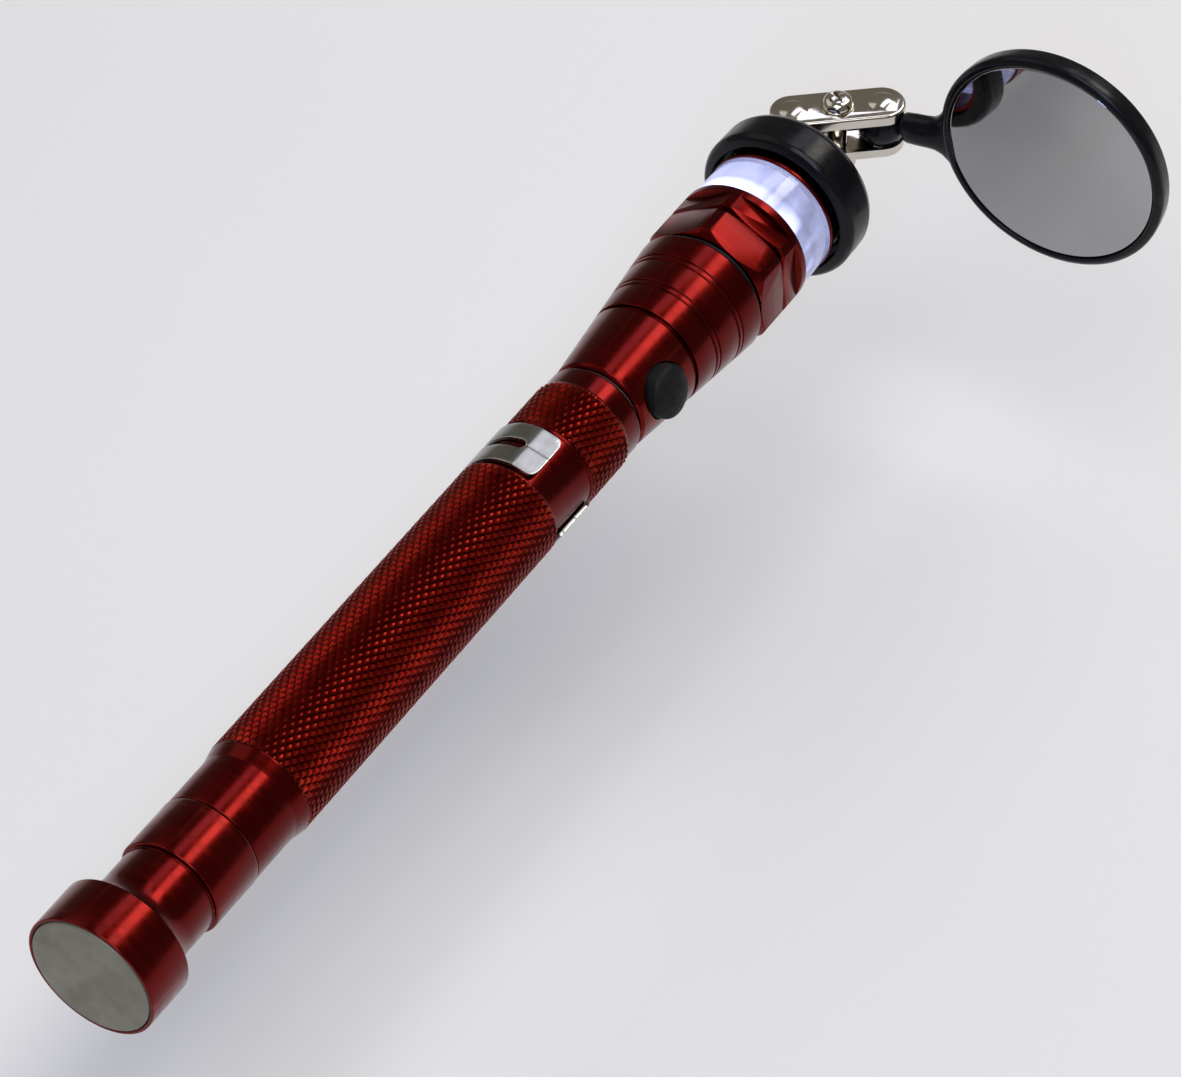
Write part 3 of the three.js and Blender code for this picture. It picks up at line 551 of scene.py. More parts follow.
def knurled_sleeve(name, start, end, radius, inner):
    """A closed sleeve whose outside is rows of truncated diamonds."""
    rows = 2 * max(1, round((end - start) / KNURL_PITCH))
    step = (end - start) / rows
    root = radius - KNURL_DEPTH
    bm = bmesh.new()

    def vertex(x, r, angle):
        return bm.verts.new((x, r * math.cos(angle), r * math.sin(angle)))

    def angle_of(row, place):
        return 2 * math.pi * (place + (row % 2) / 2) / KNURL_STARTS

    valley = [[vertex(start + row * step, root, angle_of(row, k)) for k in range(KNURL_STARTS)]
              for row in range(rows + 1)]
    half = math.pi / KNURL_STARTS

    def corner(row, side):
        """The valley point of a row on one side of a diamond's middle."""
        return valley[row][side % KNURL_STARTS]

    for row in range(rows + 1):
        x = start + row * step
        for k in range(KNURL_STARTS):
            middle = angle_of(row, k) + half
            left, right = corner(row, k), corner(row, k + 1)
            between = k + row % 2
            tops = {
                "left": vertex(x, radius, middle - half * KNURL_TOP),
                "right": vertex(x, radius, middle + half * KNURL_TOP),
            }
            if row > 0:
                tops["back"] = vertex(x - step * KNURL_TOP, radius, middle)
                back = corner(row - 1, between)
                bm.faces.new((left, back, tops["back"], tops["left"]))
                bm.faces.new((back, right, tops["right"], tops["back"]))
            if row < rows:
                tops["front"] = vertex(x + step * KNURL_TOP, radius, middle)
                front = corner(row + 1, between)
                bm.faces.new((left, tops["left"], tops["front"], front))
                bm.faces.new((tops["front"], tops["right"], right, front))
            order = [tops[key] for key in ("left", "back", "right", "front") if key in tops]
            if len(order) > 2:
                bm.faces.new(order)
            if row in (0, rows):
                bm.faces.new((left, tops["left"], tops["right"], right))
    for row in (0, rows):
        x = start + row * step
        ring = [vertex(x, inner, angle_of(row, k)) for k in range(KNURL_STARTS)]
        for k in range(KNURL_STARTS):
            following = (k + 1) % KNURL_STARTS
            bm.faces.new((valley[row][k], valley[row][following], ring[following], ring[k]))
        if row == 0:
            first = ring
        else:
            for k in range(KNURL_STARTS):
                following = (k + 1) % KNURL_STARTS
                bm.faces.new((first[k], first[following], ring[following], ring[k]))
    return finish_mesh(name, bm, 0)


# ---------------------------------------------------------------- handle
GRIP_END = 34.8
KNURL_START = 37.2
KNURL_END = 96.4
SEAT_START = 96.9
SEAT_END = 105.9
SEAT_RADIUS = 7.35
FRONT_KNURL_START = 106.3
FRONT_KNURL_END = 115.0
FRONT_KNURL_RADIUS = 0.975 * HANDLE_RADIUS
BORE = 6.5


def handle():
    under = KNURL_DEPTH + 0.12      # how far the tube is turned down beneath a knurled sleeve
    tube = lathe("handle_tube_turned", closed([
        (HANDLE_START, BORE), (HANDLE_START, GRIP_RADIUS), (GRIP_END, GRIP_RADIUS),
        (KNURL_START - 0.2, HANDLE_RADIUS - 0.05), (KNURL_START, HANDLE_RADIUS - 0.1),
        (KNURL_START, HANDLE_RADIUS - under), (KNURL_END, HANDLE_RADIUS - under),
        (KNURL_END, HANDLE_RADIUS - 0.1), (KNURL_END + 0.3, HANDLE_RADIUS - 0.2),
        (SEAT_START, GRIP_RADIUS), (SEAT_START, SEAT_RADIUS),
        (SEAT_END, SEAT_RADIUS), (SEAT_END, GRIP_RADIUS),
        (FRONT_KNURL_START, FRONT_KNURL_RADIUS - 0.1),
        (FRONT_KNURL_START, FRONT_KNURL_RADIUS - under), (FRONT_KNURL_END, FRONT_KNURL_RADIUS - under),
        (FRONT_KNURL_END, FRONT_KNURL_RADIUS - 0.15), (FRONT_KNURL_END + 0.5, GRIP_RADIUS),
        (HANDLE_END - 0.5, GRIP_RADIUS), (HANDLE_END, GRIP_RADIUS - 0.45), (HANDLE_END, BORE),
    ]), bevel=0.15)
    add_piece(tube, "handle_tube", RED)
    long_knurl = knurled_sleeve("handle_knurl_long", KNURL_START, KNURL_END, HANDLE_RADIUS,
                                HANDLE_RADIUS - under - 0.2)
    add_piece(long_knurl, "handle_tube", KNURL, replaced=False)
    short_knurl = knurled_sleeve("handle_knurl_short", FRONT_KNURL_START, FRONT_KNURL_END,
                                 FRONT_KNURL_RADIUS, FRONT_KNURL_RADIUS - under - 0.2)
    add_piece(short_knurl, "handle_tube", KNURL, replaced=False)


# ---------------------------------------------------------------- pocket clip
CLIP_INNER = SEAT_RADIUS + 0.1
CLIP_THICKNESS = 0.6
CLIP_TURN = math.radians(-25)   # the tongue's place about +X, from +Y
CLIP_WRAP = math.radians(142)   # half of the band's turn, from its tongue
PLATE_ANGLE = math.radians(117)  # where the band's flat free end begins, from the tongue
SLOT_HALF = 0.85
SLOT_ANGLE = math.radians(114)  # where the slot closes, from the tongue
TONGUE_HALF = 2.6
CORNER = 1.3                    # rounding of the band's free end


def strip_solid(name, rows):
    """A closed sheet between an inner and an outer row of points at each station."""
    bm = bmesh.new()
    made = [[[bm.verts.new(p) for p in side] for side in row] for row in rows]
    for first, second in zip(made, made[1:]):
        for side in (0, 1):
            for i in range(len(first[side]) - 1):
                a, b = first[side][i], first[side][i + 1]
                c, d = second[side][i + 1], second[side][i]
                bm.faces.new((a, b, c, d))
        for i in (0, -1):
            bm.faces.new((first[0][i], first[1][i], second[1][i], second[0][i]))
    for row in (made[0], made[-1]):
        for i in range(len(row[0]) - 1):
            bm.faces.new((row[0][i], row[0][i + 1], row[1][i + 1], row[1][i]))
    return finish_mesh(name, bm)


def band_point(radius, angle):
    """A point on the band's cross-section: round, then flat from the crease to the free end."""
    if angle <= PLATE_ANGLE:
        return Vector((math.cos(angle), math.sin(angle))) * radius
    crease = Vector((math.cos(PLATE_ANGLE), math.sin(PLATE_ANGLE))) * radius
    free_end = Vector((math.cos(CLIP_WRAP), math.sin(CLIP_WRAP))) * (radius + 0.15)
    return crease.lerp(free_end, (angle - PLATE_ANGLE) / (CLIP_WRAP - PLATE_ANGLE))


def clip_half(name, side, low, high):
    """One side of the band from the tongue to its free end, as two hoops joined past the slot."""
    middle = (low + high) / 2
    arc = SEAT_RADIUS * CLIP_WRAP
    hoops = []
    steps = 71                  # one station falls on the crease
    across = 4
    for hoop in (0, 1):
        rows = []
        for i in range(steps + 1):
            angle = CLIP_WRAP * i / steps
            left = arc - SEAT_RADIUS * angle
            inset = 0.0
            if left <= CORNER:
                inset = CORNER - math.sqrt(max(0.0, CORNER**2 - (CORNER - left) ** 2))
            before_slot_end = SEAT_RADIUS * (SLOT_ANGLE - angle)
            if before_slot_end >= SLOT_HALF:
                gap = SLOT_HALF
            elif before_slot_end > 0:
                gap = math.sqrt(SLOT_HALF**2 - (SLOT_HALF - before_slot_end) ** 2)
            else:
                gap = 0.0
            edges = (low + inset, middle - gap) if hoop == 0 else (middle + gap, high - inset)
            row = []
            for radius in (CLIP_INNER, CLIP_INNER + CLIP_THICKNESS):
                place = band_point(radius, angle)
                row.append([(edges[0] + (edges[1] - edges[0]) * k / across, place.x, side * place.y)
                            for k in range(across + 1)])
            rows.append(row)
        hoops.append(strip_solid(name, rows))
    return join(*hoops)


def clip_tongue(name, high):
    """The tongue leaves the band's front edge, folds back and runs along the handle."""
    outer = CLIP_INNER + CLIP_THICKNESS
    tip = span("pocket_clip")[0]
    fold = high + 2.5
    path = [
        (high - 3.4, outer - 0.28), (high - 0.4, outer - 0.2), (fold - 1.0, outer + 0.45),
        (fold, outer + 1.3), (fold - 0.9, outer + 2.1), (fold - 3.0, outer + 2.2),
        (fold - 9.0, outer + 2.0), (tip + 20, HANDLE_RADIUS + 1.35), (tip + 9, HANDLE_RADIUS + 0.85),
        (tip + 6.5, HANDLE_RADIUS + 0.75), (tip + 3, HANDLE_RADIUS + 1.6), (tip, HANDLE_RADIUS + 2.8),
    ]
    narrowing = {len(path) - 2: 0.92, len(path) - 1: 0.6}
    rows = []
    for i, (x, y) in enumerate(path):
        before = Vector(path[max(0, i - 1)])
        after = Vector(path[min(len(path) - 1, i + 1)])
        along = (after - before).normalized()
        normal = Vector((-along.y, along.x)) * CLIP_THICKNESS / 2
        half = TONGUE_HALF * narrowing.get(i, 1.0)
        row = []
        for sign in (-1, 1):
            spot = Vector((x, y)) + normal * sign
            row.append([(spot.x, spot.y, half * k / 3) for k in range(-3, 4)])
        rows.append(row)
    return subdivided(strip_solid(name, rows))


def subdivided(obj):
    """The same piece with its surface smoothed, as its own mesh."""
    modifier = obj.modifiers.new("smooth", "SUBSURF")
    modifier.levels = 2
    modifier.render_levels = 2
    graph = bpy.context.evaluated_depsgraph_get()
    obj.data = bpy.data.meshes.new_from_object(obj.evaluated_get(graph))
    obj.modifiers.clear()
    shade(obj, 50)
    return obj


def clip():
    low = SEAT_START + 0.5
    high = SEAT_END - 0.5
    upper = clip_half("pocket_clip_band", 1, low, high)
    lower = clip_half("lower", -1, low, high)
    band = join(upper, lower)
    bevel_edges(band, 0.1, angle=50)
    tongue = clip_tongue("tongue", high)
    clip_body = join(band, tongue)
    clip_body.data.transform(Matrix.Rotation(CLIP_TURN, 4, "X"))
    add_piece(clip_body, "pocket_clip", SPRING)


# ---------------------------------------------------------------- telescopic rod
def rod():
    names = ["rod_tube_fixed", "rod_tube_1", "rod_tube_2", "rod_tube_3", "rod_tube_4", "rod_tip"]
    wall = 0.25
    step = 0.5
    first_radius = 3.9
    collar_length = 4.0
    lip_length = 1.2
    for number, node in enumerate(names):
        rear, front = span(node)
        radius = first_radius - step * number
        collar = radius + (0 if number == 0 else step - wall - 0.06)
        shape = [(rear, collar), (rear + collar_length, collar), (rear + collar_length, radius)]
        if node == "rod_tip":
            outline = [(rear, 0), *shape, (front, radius), (front, 0)]
        else:
            lip = radius - step + 0.06
            outline = closed([
                (rear, radius - wall), *shape, (front - lip_length, radius),
                (front - 0.5, radius - 0.06), (front, radius - 0.14), (front, lip),
                (front - lip_length, lip), (front - lip_length, radius - wall),
            ])
        add_piece(lathe(node + "_polished", outline, 64, 0.05, 2), node, ROD)


# ---------------------------------------------------------------- head
BARREL_START, BARREL_NOSE_END = span("head_barrel")
BARREL_RIM = 146.4
BARREL_END = 147.0
BARREL_REAR_RADIUS = 0.925 * HANDLE_RADIUS
BARREL_RIM_RADIUS = outer_radius("head_barrel")
BARREL_BORE = 6.6
NOSE_RADIUS = 8.3
WIDE_GROOVE = 131.3
FINE_GROOVES = (136.1, 137.0, 141.3, 142.2)
BUTTON_X = 125.4
BUTTON_ANGLE = 2.84             # about +X from +Y
BUTTON_AXIS = Vector((0, math.cos(BUTTON_ANGLE), math.sin(BUTTON_ANGLE)))
BUTTON_RADIUS = 3.9
BUTTON_GAP = 0.25


def cone_radius(x):
    """The barrel's radius at a station along the tool."""
    t = (x - BARREL_START) / (BARREL_RIM - BARREL_START)
    return BARREL_REAR_RADIUS + (BARREL_RIM_RADIUS - BARREL_REAR_RADIUS) * t


def ring_groove(x, width, depth):
    radius = cone_radius(x)
    return [(x, radius), (x, radius - depth), (x + width, radius - depth),
            (x + width, cone_radius(x + width))]


def barrel():
    fine = [ring_groove(x, 0.35, 0.2) for x in FINE_GROOVES]
    shell = lathe("head_barrel_turned", closed([
        (BARREL_START, BARREL_BORE), (BARREL_START, BARREL_REAR_RADIUS - 0.4),
        (BARREL_START + 0.4, cone_radius(BARREL_START + 0.4)),
        *ring_groove(WIDE_GROOVE, 0.8, 0.5), *[point for groove in fine for point in groove],
        (BARREL_RIM, BARREL_RIM_RADIUS), (BARREL_END, BARREL_RIM_RADIUS - 0.7),
        (BARREL_END, NOSE_RADIUS), (BARREL_NOSE_END, NOSE_RADIUS), (BARREL_NOSE_END, BARREL_BORE),
    ]), segments=160, bevel=0.1)
    hole_radius = BUTTON_RADIUS + BUTTON_GAP
    hole = lathe("hole", [(2, 0), (2, hole_radius), (14, hole_radius), (14, 0)], 96, 0)
    move(hole, (BUTTON_X, 0, 0), BUTTON_AXIS)
    combine(shell, hole, "DIFFERENCE")
    shade(shell)
    add_piece(shell, "head_barrel", RED)


def button():
    """Its heights are measured from the tool's axis."""
    foot = 6.0
    shoulder = 8.4
    top = 9.95
    outline = [(foot, 0), (foot, BUTTON_RADIUS), (shoulder - 0.2, BUTTON_RADIUS)]
    steps = 14
    for i in range(steps):
        angle = math.pi / 2 * i / steps
        outline.append((shoulder + (top - shoulder) * math.sin(angle), BUTTON_RADIUS * math.cos(angle)))
    outline.append((top, 0))
    dome = lathe("push_button_dome", outline, 96, 0.05)
    move(dome, (BUTTON_X, 0, 0), BUTTON_AXIS)
    add_piece(dome, "push_button", RUBBER)


def seal():
    low, high = span("seal_ring")
    section = (high - low) / 2
    middle = outer_radius("seal_ring") - section - 0.25
    points = []
    for i in range(24):
        angle = 2 * math.pi * i / 24
        points.append(((low + high) / 2 + section * math.cos(angle), middle + section * math.sin(angle)))
    add_piece(lathe("seal_ring_moulded", closed(points), 128, 0), "seal_ring", RUBBER)


COLLAR_RADIUS = outer_radius("hex_collar")
COLLAR_SPLIT = 154.0
COLLAR_BORE = 8.5
HEX_TURN = math.radians(27)
HEX_SIDES = 6
HEX_FLAT = 0.9                  # a flat's distance from the axis, as a part of the radius
V_HALF_WIDTH = 0.6
V_DEPTH = 1.35


def collar():
    blank = lathe("hex_collar_milled", closed([
        (COLLAR_START, COLLAR_BORE), (COLLAR_START, COLLAR_RADIUS - 1.1),
        (COLLAR_START + 1.0, COLLAR_RADIUS), (COLLAR_SPLIT - V_HALF_WIDTH, COLLAR_RADIUS),
        (COLLAR_SPLIT, COLLAR_RADIUS - V_DEPTH), (COLLAR_SPLIT + V_HALF_WIDTH, COLLAR_RADIUS),
        (COLLAR_END - 0.25, COLLAR_RADIUS), (COLLAR_END, COLLAR_RADIUS - 0.25), (COLLAR_END, COLLAR_BORE),
    ]), segments=192, bevel=0.06)
    flat_end = COLLAR_END - 1.5
    length = flat_end - COLLAR_START + 2
    flat = HEX_FLAT * COLLAR_RADIUS
    width = 20
    height = 4
    for i in range(HEX_SIDES):
        slab = block((length, width, height), (flat_end - length / 2, 0, flat + height / 2))
        slab.data.transform(Matrix.Rotation(2 * math.pi * i / HEX_SIDES + HEX_TURN, 4, "X"))
        combine(blank, slab, "DIFFERENCE")
    bevel_edges(blank, 0.08)
    add_piece(blank, "hex_collar", RED)


# ---------------------------------------------------------------- lamp
LENS_START, LENS_END = span("clear_lens")
LENS_RADIUS = outer_radius("clear_lens")
LENS_BORE = 7.9
LENS_SPIGOT_RADIUS = 8.35
CAP_RADIUS = outer_radius("front_cap")
CAP_BORE = 8.6
CAP_NOSE_RADIUS = 9.4
NOSE_END = span("front_cap")[1]


def led(node):
    """A flanged bulb with a round end."""
    start, tip = span(node)
    middle = centre(node)
    radius = outer_radius(node)
    bulb = radius * 0.96
    outline = [(start, 0), (start, radius), (start + 0.7, radius), (tip - radius, bulb)]
    steps = 8
    for i in range(1, steps):
        angle = math.pi / 2 * i / steps
        outline.append((tip - radius + radius * math.sin(angle), bulb * math.cos(angle)))
    outline.append((tip, 0))
    dome = lathe(node + "_moulded", outline, 48, 0.05)
    dome.data.transform(Matrix.Translation(Vector((0, middle.y, middle.z)) * MM))
    add_piece(dome, node, LED)


def lamp():
    magnet_start, magnet_end = span("front_magnet")
    magnet_radius = outer_radius("front_magnet")
    bore = magnet_radius + 0.1
    front_wall = LENS_END - 1.4
    show = COLLAR_END + 0.1
    lens = lathe("clear_lens_moulded", closed([
        (LENS_START, LENS_BORE), (LENS_START, LENS_SPIGOT_RADIUS), (show, LENS_SPIGOT_RADIUS),
        (show, LENS_RADIUS), (LENS_END, LENS_RADIUS),
        (LENS_END, bore), (front_wall, bore), (front_wall, LENS_BORE),
    ]), bevel=0.25)
    add_piece(lens, "clear_lens", ACRYLIC)
    core = lathe("lens_light_guide", closed([
        (show + 0.2, 8.5), (show + 0.2, 9.3), (show + 2.0, 9.55), (show + 3.6, 9.0), (show + 4.6, 9.5),
        (LENS_END - 0.9, 9.4), (LENS_END - 0.4, 8.6), (LENS_END - 0.4, 8.2), (show + 1.0, 8.1),
    ]), bevel=0.25)
    add_piece(core, "clear_lens", CORE, replaced=False)
    rim_end = LENS_END + 0.8
    cap = lathe("front_cap_turned", closed([
        (LENS_END + 0.1, CAP_BORE), (LENS_END + 0.1, CAP_RADIUS), (rim_end, CAP_RADIUS),
        (rim_end, CAP_NOSE_RADIUS), (NOSE_END, CAP_NOSE_RADIUS), (NOSE_END, CAP_BORE),
    ]), bevel=0.12)
    add_piece(cap, "front_cap", RED)
    magnet = lathe("front_magnet_turned", [
        (magnet_start, 0), (magnet_start, magnet_radius), (magnet_end, magnet_radius), (magnet_end, 0),
    ], 96, 0.3)
    add_piece(magnet, "front_magnet", MAGNET)
    for node in ("led_1", "led_2", "led_3"):
        led(node)


# ---------------------------------------------------------------- mirror holder
HOLDER_START = 167.3
HOLDER_END = 174.2
HOLDER_RADIUS = 12.5
HOLDER_BORE = 9.55
BALL_A = centre("holder_ball")
BALL_B = centre("mirror_ball")
BALL_RADIUS = outer_radius("holder_ball")
POST_ROOT = Vector((173.0, 10.8, 2.0))


def holder():
    recess = HOLDER_START + 2.2
    face_inner = 10.7
    face_outer = 12.0
    ring = lathe("mirror_holder_moulded", closed([
        (recess, HOLDER_BORE), (recess, face_inner), (HOLDER_START, face_inner),
        (HOLDER_START + 0.5, face_outer), (HOLDER_START + 1.2, HOLDER_RADIUS),
        (HOLDER_END - 1.2, HOLDER_RADIUS - 0.1), (HOLDER_END, HOLDER_RADIUS - 0.7),
        (HOLDER_END, HOLDER_BORE),
    ]), bevel=0.3, steps=4)
    axis = (BALL_A - POST_ROOT).normalized()
    reach = (BALL_A - POST_ROOT).length
    post = lathe("post", [
        (0, 0), (0, 1.4), (1.6, 1.45), (2.6, 2.2), (3.3, 1.75), (reach - BALL_RADIUS - 0.6, 1.4),
        (reach - BALL_RADIUS - 0.1, 1.3), (reach - BALL_RADIUS + 1.9, 0.9),
        (reach - BALL_RADIUS + 1.9, 0),
    ], 48, 0.5)
    move(post, POST_ROOT, axis)
    add_piece(join(ring, post), "mirror_holder_ring", PLASTIC)
    add_piece(ball("holder_ball_turned", BALL_RADIUS, BALL_A), "holder_ball", PLASTIC)
    add_piece(ball("mirror_ball_turned", BALL_RADIUS, BALL_B), "mirror_ball", PLASTIC)


# ---------------------------------------------------------------- bracket
SPACING = (BALL_B - BALL_A).length
HALF = SPACING / 2
PLATE_INNER = 3.2
PLATE_OUTER = 4.0
PLATE_HALF_WIDTH = 3.45
LIP_DEPTH = 1.7
LIP_THICKNESS = 0.7
SCREW_RADIUS = 1.5
SCREW_HEAD_RADIUS = 2.3
SCREW_TAIL = -6.9
SCREW_TURN = 0.5                # of the cross slot, in radians
SLOT_LENGTH = 2.9
SLOT_WIDTH = 0.75
SLOT_DEPTH = 2.2
NUT_RADIUS = 3.1
NUT_BORE = 1.62


def capsule_solid(name, levels):
    """A stack of capsule outlines, each (half width, height), closed at both ends."""
    bm = bmesh.new()
    turns = 24
    rings = []
    for width, z in levels:
        ring = []
        for centre_x, start in ((HALF, -math.pi / 2), (-HALF, math.pi / 2)):
            for i in range(turns + 1):
                angle = start + math.pi * i / turns
                spot = (centre_x + width * math.cos(angle), width * math.sin(angle), z)
                ring.append(bm.verts.new(spot))
        rings.append(ring)
    for low, high in zip(rings, rings[1:]):
        for i in range(len(low)):
            j = (i + 1) % len(low)
            bm.faces.new((low[i], low[j], high[j], high[i]))
    bm.faces.new(rings[0])
    bm.faces.new(list(reversed(rings[-1])))
    return finish_mesh(name, bm)


def clamp_plate(name):
    """Drawn over the screw, which stands on the Z axis. Its rim is turned down all round."""
    curve = []
    round_radius = 0.5
    steps = 5
    for i in range(steps + 1):
        angle = math.pi / 2 * i / steps
        curve.append((PLATE_HALF_WIDTH - round_radius * (1 - math.cos(angle)),
                      PLATE_OUTER - round_radius + round_radius * math.sin(angle)))
    plate = capsule_solid(name, [(PLATE_HALF_WIDTH, PLATE_OUTER - LIP_DEPTH), *curve])
    inside = PLATE_HALF_WIDTH - LIP_THICKNESS
    combine(plate, capsule_solid("hollow", [(inside, 0.5), (inside, PLATE_INNER)]), "DIFFERENCE")
    width = 12
    height = 6
    for side in (-1, 1):
        dome = ball("dome", BALL_RADIUS + 0.95, (side * HALF, 0, 0), 5)
        above = block((width, width, height), (side * HALF, 0, PLATE_INNER + 0.05 + height / 2))
        combine(dome, above, "INTERSECT")
        combine(plate, dome, "UNION")
    for side in (-1, 1):
        combine(plate, ball("seat", BALL_RADIUS + 0.2, (side * HALF, 0, 0), 5), "DIFFERENCE")
    hole_radius = SCREW_RADIUS + 0.1
    hole = lathe("hole", [(-9, 0), (-9, hole_radius), (9, hole_radius), (9, 0)], 48, 0)
    hole.data.transform(Matrix.Rotation(-math.pi / 2, 4, "Y"))
    combine(plate, hole, "DIFFERENCE")
    shade(plate, 40)
    return plate


def bracket_matrix():
    middle = (BALL_A + BALL_B) / 2
    turn = Vector((1, 0, 0)).rotation_difference((BALL_B - BALL_A).normalized())
    return Matrix.Translation(middle * MM) @ turn.to_matrix().to_4x4()


def bracket():
    place = bracket_matrix()
    top = clamp_plate("bracket_plate_top_pressed")
    top.data.transform(place)
    add_piece(top, "bracket_top_plate", CHROME)
    bottom = clamp_plate("bracket_plate_bottom_pressed")
    bottom.data.transform(place @ Matrix.Rotation(math.pi, 4, "X"))
    add_piece(bottom, "bracket_bottom_plate", CHROME)

    seat = PLATE_OUTER + 0.05
    screw = lathe("clamp_screw_turned", [
        (SCREW_TAIL, 0), (SCREW_TAIL, SCREW_RADIUS), (seat, SCREW_RADIUS),
        (seat, SCREW_HEAD_RADIUS), (seat + 0.7, SCREW_HEAD_RADIUS),
        (seat + 1.3, SCREW_HEAD_RADIUS - 0.4), (seat + 1.65, SCREW_HEAD_RADIUS - 1.1), (seat + 1.75, 0),
    ], 64, 0.25)
    screw.data.transform(Matrix.Rotation(-math.pi / 2, 4, "Y"))
    for size in ((SLOT_LENGTH, SLOT_WIDTH, SLOT_DEPTH), (SLOT_WIDTH, SLOT_LENGTH, SLOT_DEPTH)):
        combine(screw, block(size, (0, 0, seat + 1.8)), "DIFFERENCE")
    shade(screw)
    screw.data.transform(place @ Matrix.Rotation(SCREW_TURN, 4, "Z"))
    add_piece(screw, "clamp_screw", CHROME)

    nut_end = PLATE_OUTER + 2.35
    starter = NUT_BORE - 0.07       # a six-sided hole, which the round bore clears
    nut = lathe("clamp_nut_milled", closed([
        (seat, starter), (seat, NUT_RADIUS), (nut_end, NUT_RADIUS), (nut_end, starter),
    ]), 6, 0)
    bore = lathe("bore", closed([
        (PLATE_OUTER - 1, 0.4), (PLATE_OUTER - 1, NUT_BORE), (nut_end + 1, NUT_BORE), (nut_end + 1, 0.4),
    ]), 32, 0)
    combine(nut, bore, "DIFFERENCE")
    bevel_edges(nut, 0.2)
    nut.data.transform(place @ Matrix.Rotation(math.pi / 2, 4, "Y"))
    add_piece(nut, "clamp_nut", CHROME)


# ---------------------------------------------------------------- mirror
GLASS_CENTRE = centre("mirror_glass")
GLASS_NORMAL = Vector((-1, 0, 0))
NECK = GLASS_CENTRE - BALL_B
NECK.x = 0
REACH = NECK.length
NECK.normalize()
FRAME_RADIUS = 17.95
FRAME_FRONT, FRAME_BACK = [BALL_B.x - x for x in span("mirror_frame")]
GLASS_RADIUS = outer_radius("mirror_glass")
GLASS_FRONT, GLASS_BACK = [BALL_B.x - x for x in span("mirror_glass")]


def mirror_matrix():
    """Takes a neck along +X and a glass facing +Z to their places."""
    across = GLASS_NORMAL.cross(NECK)
    rows = [[NECK[i], across[i], GLASS_NORMAL[i], BALL_B[i] * MM] for i in range(3)]
    return Matrix([*rows, [0, 0, 0, 1]])


def upright_disc(name, outline, segments=160, bevel=0.3, steps=4):
    """A turned piece about the glass's own axis, at the end of the neck."""
    disc = lathe(name, outline, segments, bevel, steps)
    disc.data.transform(Matrix.Rotation(-math.pi / 2, 4, "Y"))
    disc.data.transform(Matrix.Translation(Vector((REACH, 0, 0)) * MM))
    return disc


def neck_body(name):
    """The flat neck swells from the ball's pin and flares into the rim, by lofted ovals.

    Each station is its distance from the ball, its half width and its half thickness.
    """
    stations = [
        (3.9, 1.7, 1.2), (4.1, 2.2, 1.45), (4.5, 2.45, 1.55), (6.4, 2.55, 1.55), (8.0, 2.6, 1.5),
        (9.2, 2.75, 1.5), (10.3, 3.4, 1.5), (11.2, 4.5, 1.55), (12.0, 6.0, 1.6), (12.8, 8.0, 1.6),
    ]
    bm = bmesh.new()
    around = 40
    squareness = 0.8
    rings = []
    for x, wide, thick in stations:
        ring = []
        for i in range(around):
            angle = 2 * math.pi * i / around
            c, s = math.cos(angle), math.sin(angle)
            y = wide * math.copysign(abs(c) ** squareness, c)
            z = thick * math.copysign(abs(s) ** squareness, s)
            ring.append(bm.verts.new((x, y, z)))
        rings.append(ring)
    for low, high in zip(rings, rings[1:]):
        for i in range(around):
            j = (i + 1) % around
            bm.faces.new((low[i], low[j], high[j], high[i]))
    bm.faces.new(rings[0])
    bm.faces.new(list(reversed(rings[-1])))
    return finish_mesh(name, bm, 60)


def mirror():
    place = mirror_matrix()
    dish_floor = GLASS_BACK - 0.4
    recess = GLASS_RADIUS + 0.12
    dish = upright_disc("mirror_frame_moulded", [
        (FRAME_BACK, 0), (FRAME_BACK, FRAME_RADIUS - 1.1), (FRAME_BACK + 0.5, FRAME_RADIUS - 0.3),
        (FRAME_FRONT - 1.2, FRAME_RADIUS), (FRAME_FRONT - 0.5, FRAME_RADIUS - 0.05),
        (FRAME_FRONT, FRAME_RADIUS - 0.7), (FRAME_FRONT, recess), (dish_floor, recess), (dish_floor, 0),
    ])
    pin_start = BALL_RADIUS - 1.9
    pin = lathe("pin", [
        (pin_start, 0), (pin_start, 0.9), (BALL_RADIUS - 0.1, 0.9), (BALL_RADIUS + 0.1, 1.3),
        (5.0, 1.3), (5.0, 0),
    ], 40, 0.15)
    frame_body = join(dish, neck_body("neck"), pin)
    frame_body.data.transform(place)
    add_piece(frame_body, "mirror_frame", PLASTIC)
    glass = upright_disc("mirror_glass_ground", [
        (GLASS_BACK, 0), (GLASS_BACK, GLASS_RADIUS), (GLASS_FRONT, GLASS_RADIUS), (GLASS_FRONT, 0),
    ], bevel=0.35)
    glass.data.transform(place)
    add_piece(glass, "mirror_glass", MIRROR)


# ---------------------------------------------------------------- pieces kept from the frame
KEPT = {
    "rod_anchor_plug": NYLON,
    "handle_front_bush": NYLON,
    "head_rear_plug": NYLON,
    "switch_block": NYLON,
    "battery_sleeve": NYLON,
    "battery_spring": SPRING,
    **{f"button_cell_{number}": CELL for number in (1, 2, 3, 4)},
    "led_board": BOARD,
    "mirror_pad": FOAM,
}

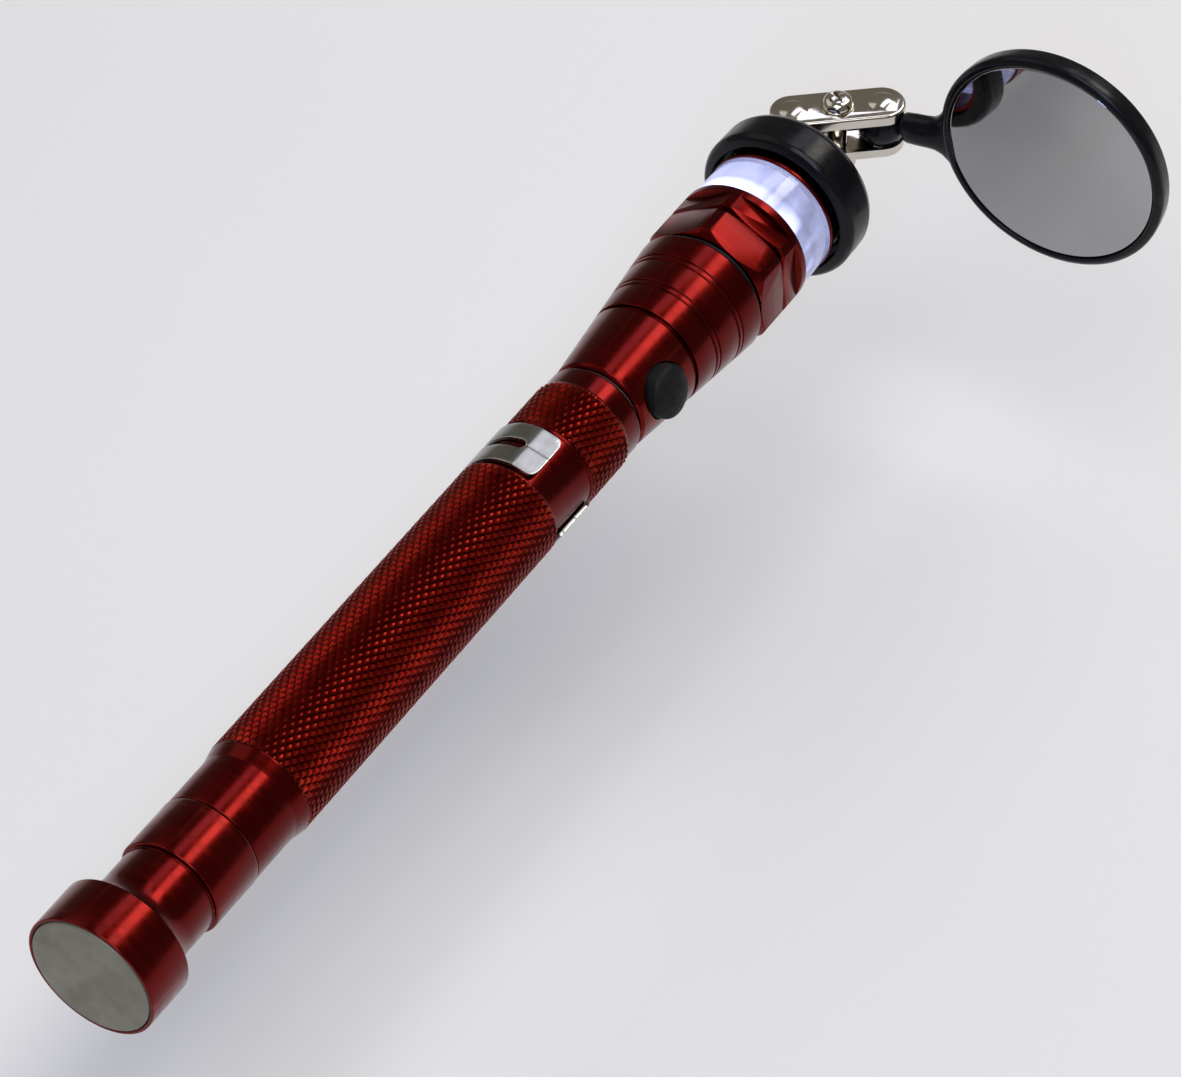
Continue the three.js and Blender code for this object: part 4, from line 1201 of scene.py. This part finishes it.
# ---------------------------------------------------------------- stage, in metres
FLOOR_DROP = 0.045              # below the tool, so that the mirror clears it however its joints turn
FLOOR_SIZE = 8.0
CAMERA_AZIMUTH = math.radians(-57.6)
CAMERA_ELEVATION = math.radians(45.9)
CAMERA_DISTANCE = 0.700
CAMERA_AIM = Vector((0.0891, -0.0180, 0.0106))
CAMERA_ROLL = math.radians(-0.4)
CAMERA_LENS = 161.6
LIGHT_AIM = (0.1, -0.01, 0.0)


def floor():
    bm = bmesh.new()
    bmesh.ops.create_grid(bm, x_segments=2, y_segments=2, size=FLOOR_SIZE / 2 / MM)
    obj = finish_mesh("floor", bm)
    obj.location.z = CAD_BOX[0].z - FLOOR_DROP
    paint(obj, floor_paper())


def area_light(name, position, size, power, color=(1, 1, 1)):
    """A softbox that faces the middle of the tool, its first side along the tool."""
    data = bpy.data.lights.new(name, "AREA")
    data.shape = "RECTANGLE"
    data.size, data.size_y = size
    data.energy = power
    data.color = color
    obj = bpy.data.objects.new(name, data)
    bpy.context.scene.collection.objects.link(obj)
    obj.location = position
    back = (Vector(position) - Vector(LIGHT_AIM)).normalized()
    side = (Vector((1, 0, 0)) - back * back.x).normalized()
    turn = Matrix((side, back.cross(side), back)).transposed()
    obj.rotation_euler = turn.to_euler()


def studio():
    world = bpy.data.worlds.new("studio")
    bpy.context.scene.world = world
    world.use_nodes = True
    background = world.node_tree.nodes["Background"]
    background.inputs["Color"].default_value = (1.0, 0.91, 0.77, 1)
    background.inputs["Strength"].default_value = 0.18
    area_light("key", (0.68, -0.27, 0.806), (0.85, 0.25), 3.9, (1.0, 0.95, 0.88))
    area_light("key_edge", (0.68, 0.081, 0.846), (0.85, 0.24), 1.5, (0.78, 0.80, 1.0))
    area_light("left", (-0.1, 0.8, 0.8), (1.2, 0.8), 1.8)
    area_light("overhead", (-0.5, -0.3, 1.3), (0.9, 0.9), 9.0, (0.93, 0.96, 1.0))
    area_light("lamp_glow", (-0.45, -0.30, 0.52), (0.25, 0.12), 1.0, (0.35, 0.50, 1.0))


def camera():
    data = bpy.data.cameras.new("camera")
    data.lens = CAMERA_LENS
    data.sensor_width = 36.0
    data.clip_start = 0.05
    data.clip_end = 50
    obj = bpy.data.objects.new("camera", data)
    bpy.context.scene.collection.objects.link(obj)
    back = Vector((
        math.sin(CAMERA_AZIMUTH) * math.cos(CAMERA_ELEVATION),
        -math.cos(CAMERA_AZIMUTH) * math.cos(CAMERA_ELEVATION),
        math.sin(CAMERA_ELEVATION),
    ))
    obj.location = CAMERA_AIM + back * CAMERA_DISTANCE
    turn = (-back).to_track_quat("-Z", "Y").to_matrix() @ Matrix.Rotation(CAMERA_ROLL, 3, "Z")
    obj.rotation_euler = turn.to_euler()
    bpy.context.scene.camera = obj


camera()
floor()
studio()
tail()
handle()
clip()
rod()
barrel()
button()
seal()
collar()
lamp()
holder()
bracket()
mirror()
for node, material in KEPT.items():
    paint(frame["nodes"][node], material)
bpy.context.scene.view_settings.view_transform = "Standard"

bpy.context.view_layer.update()
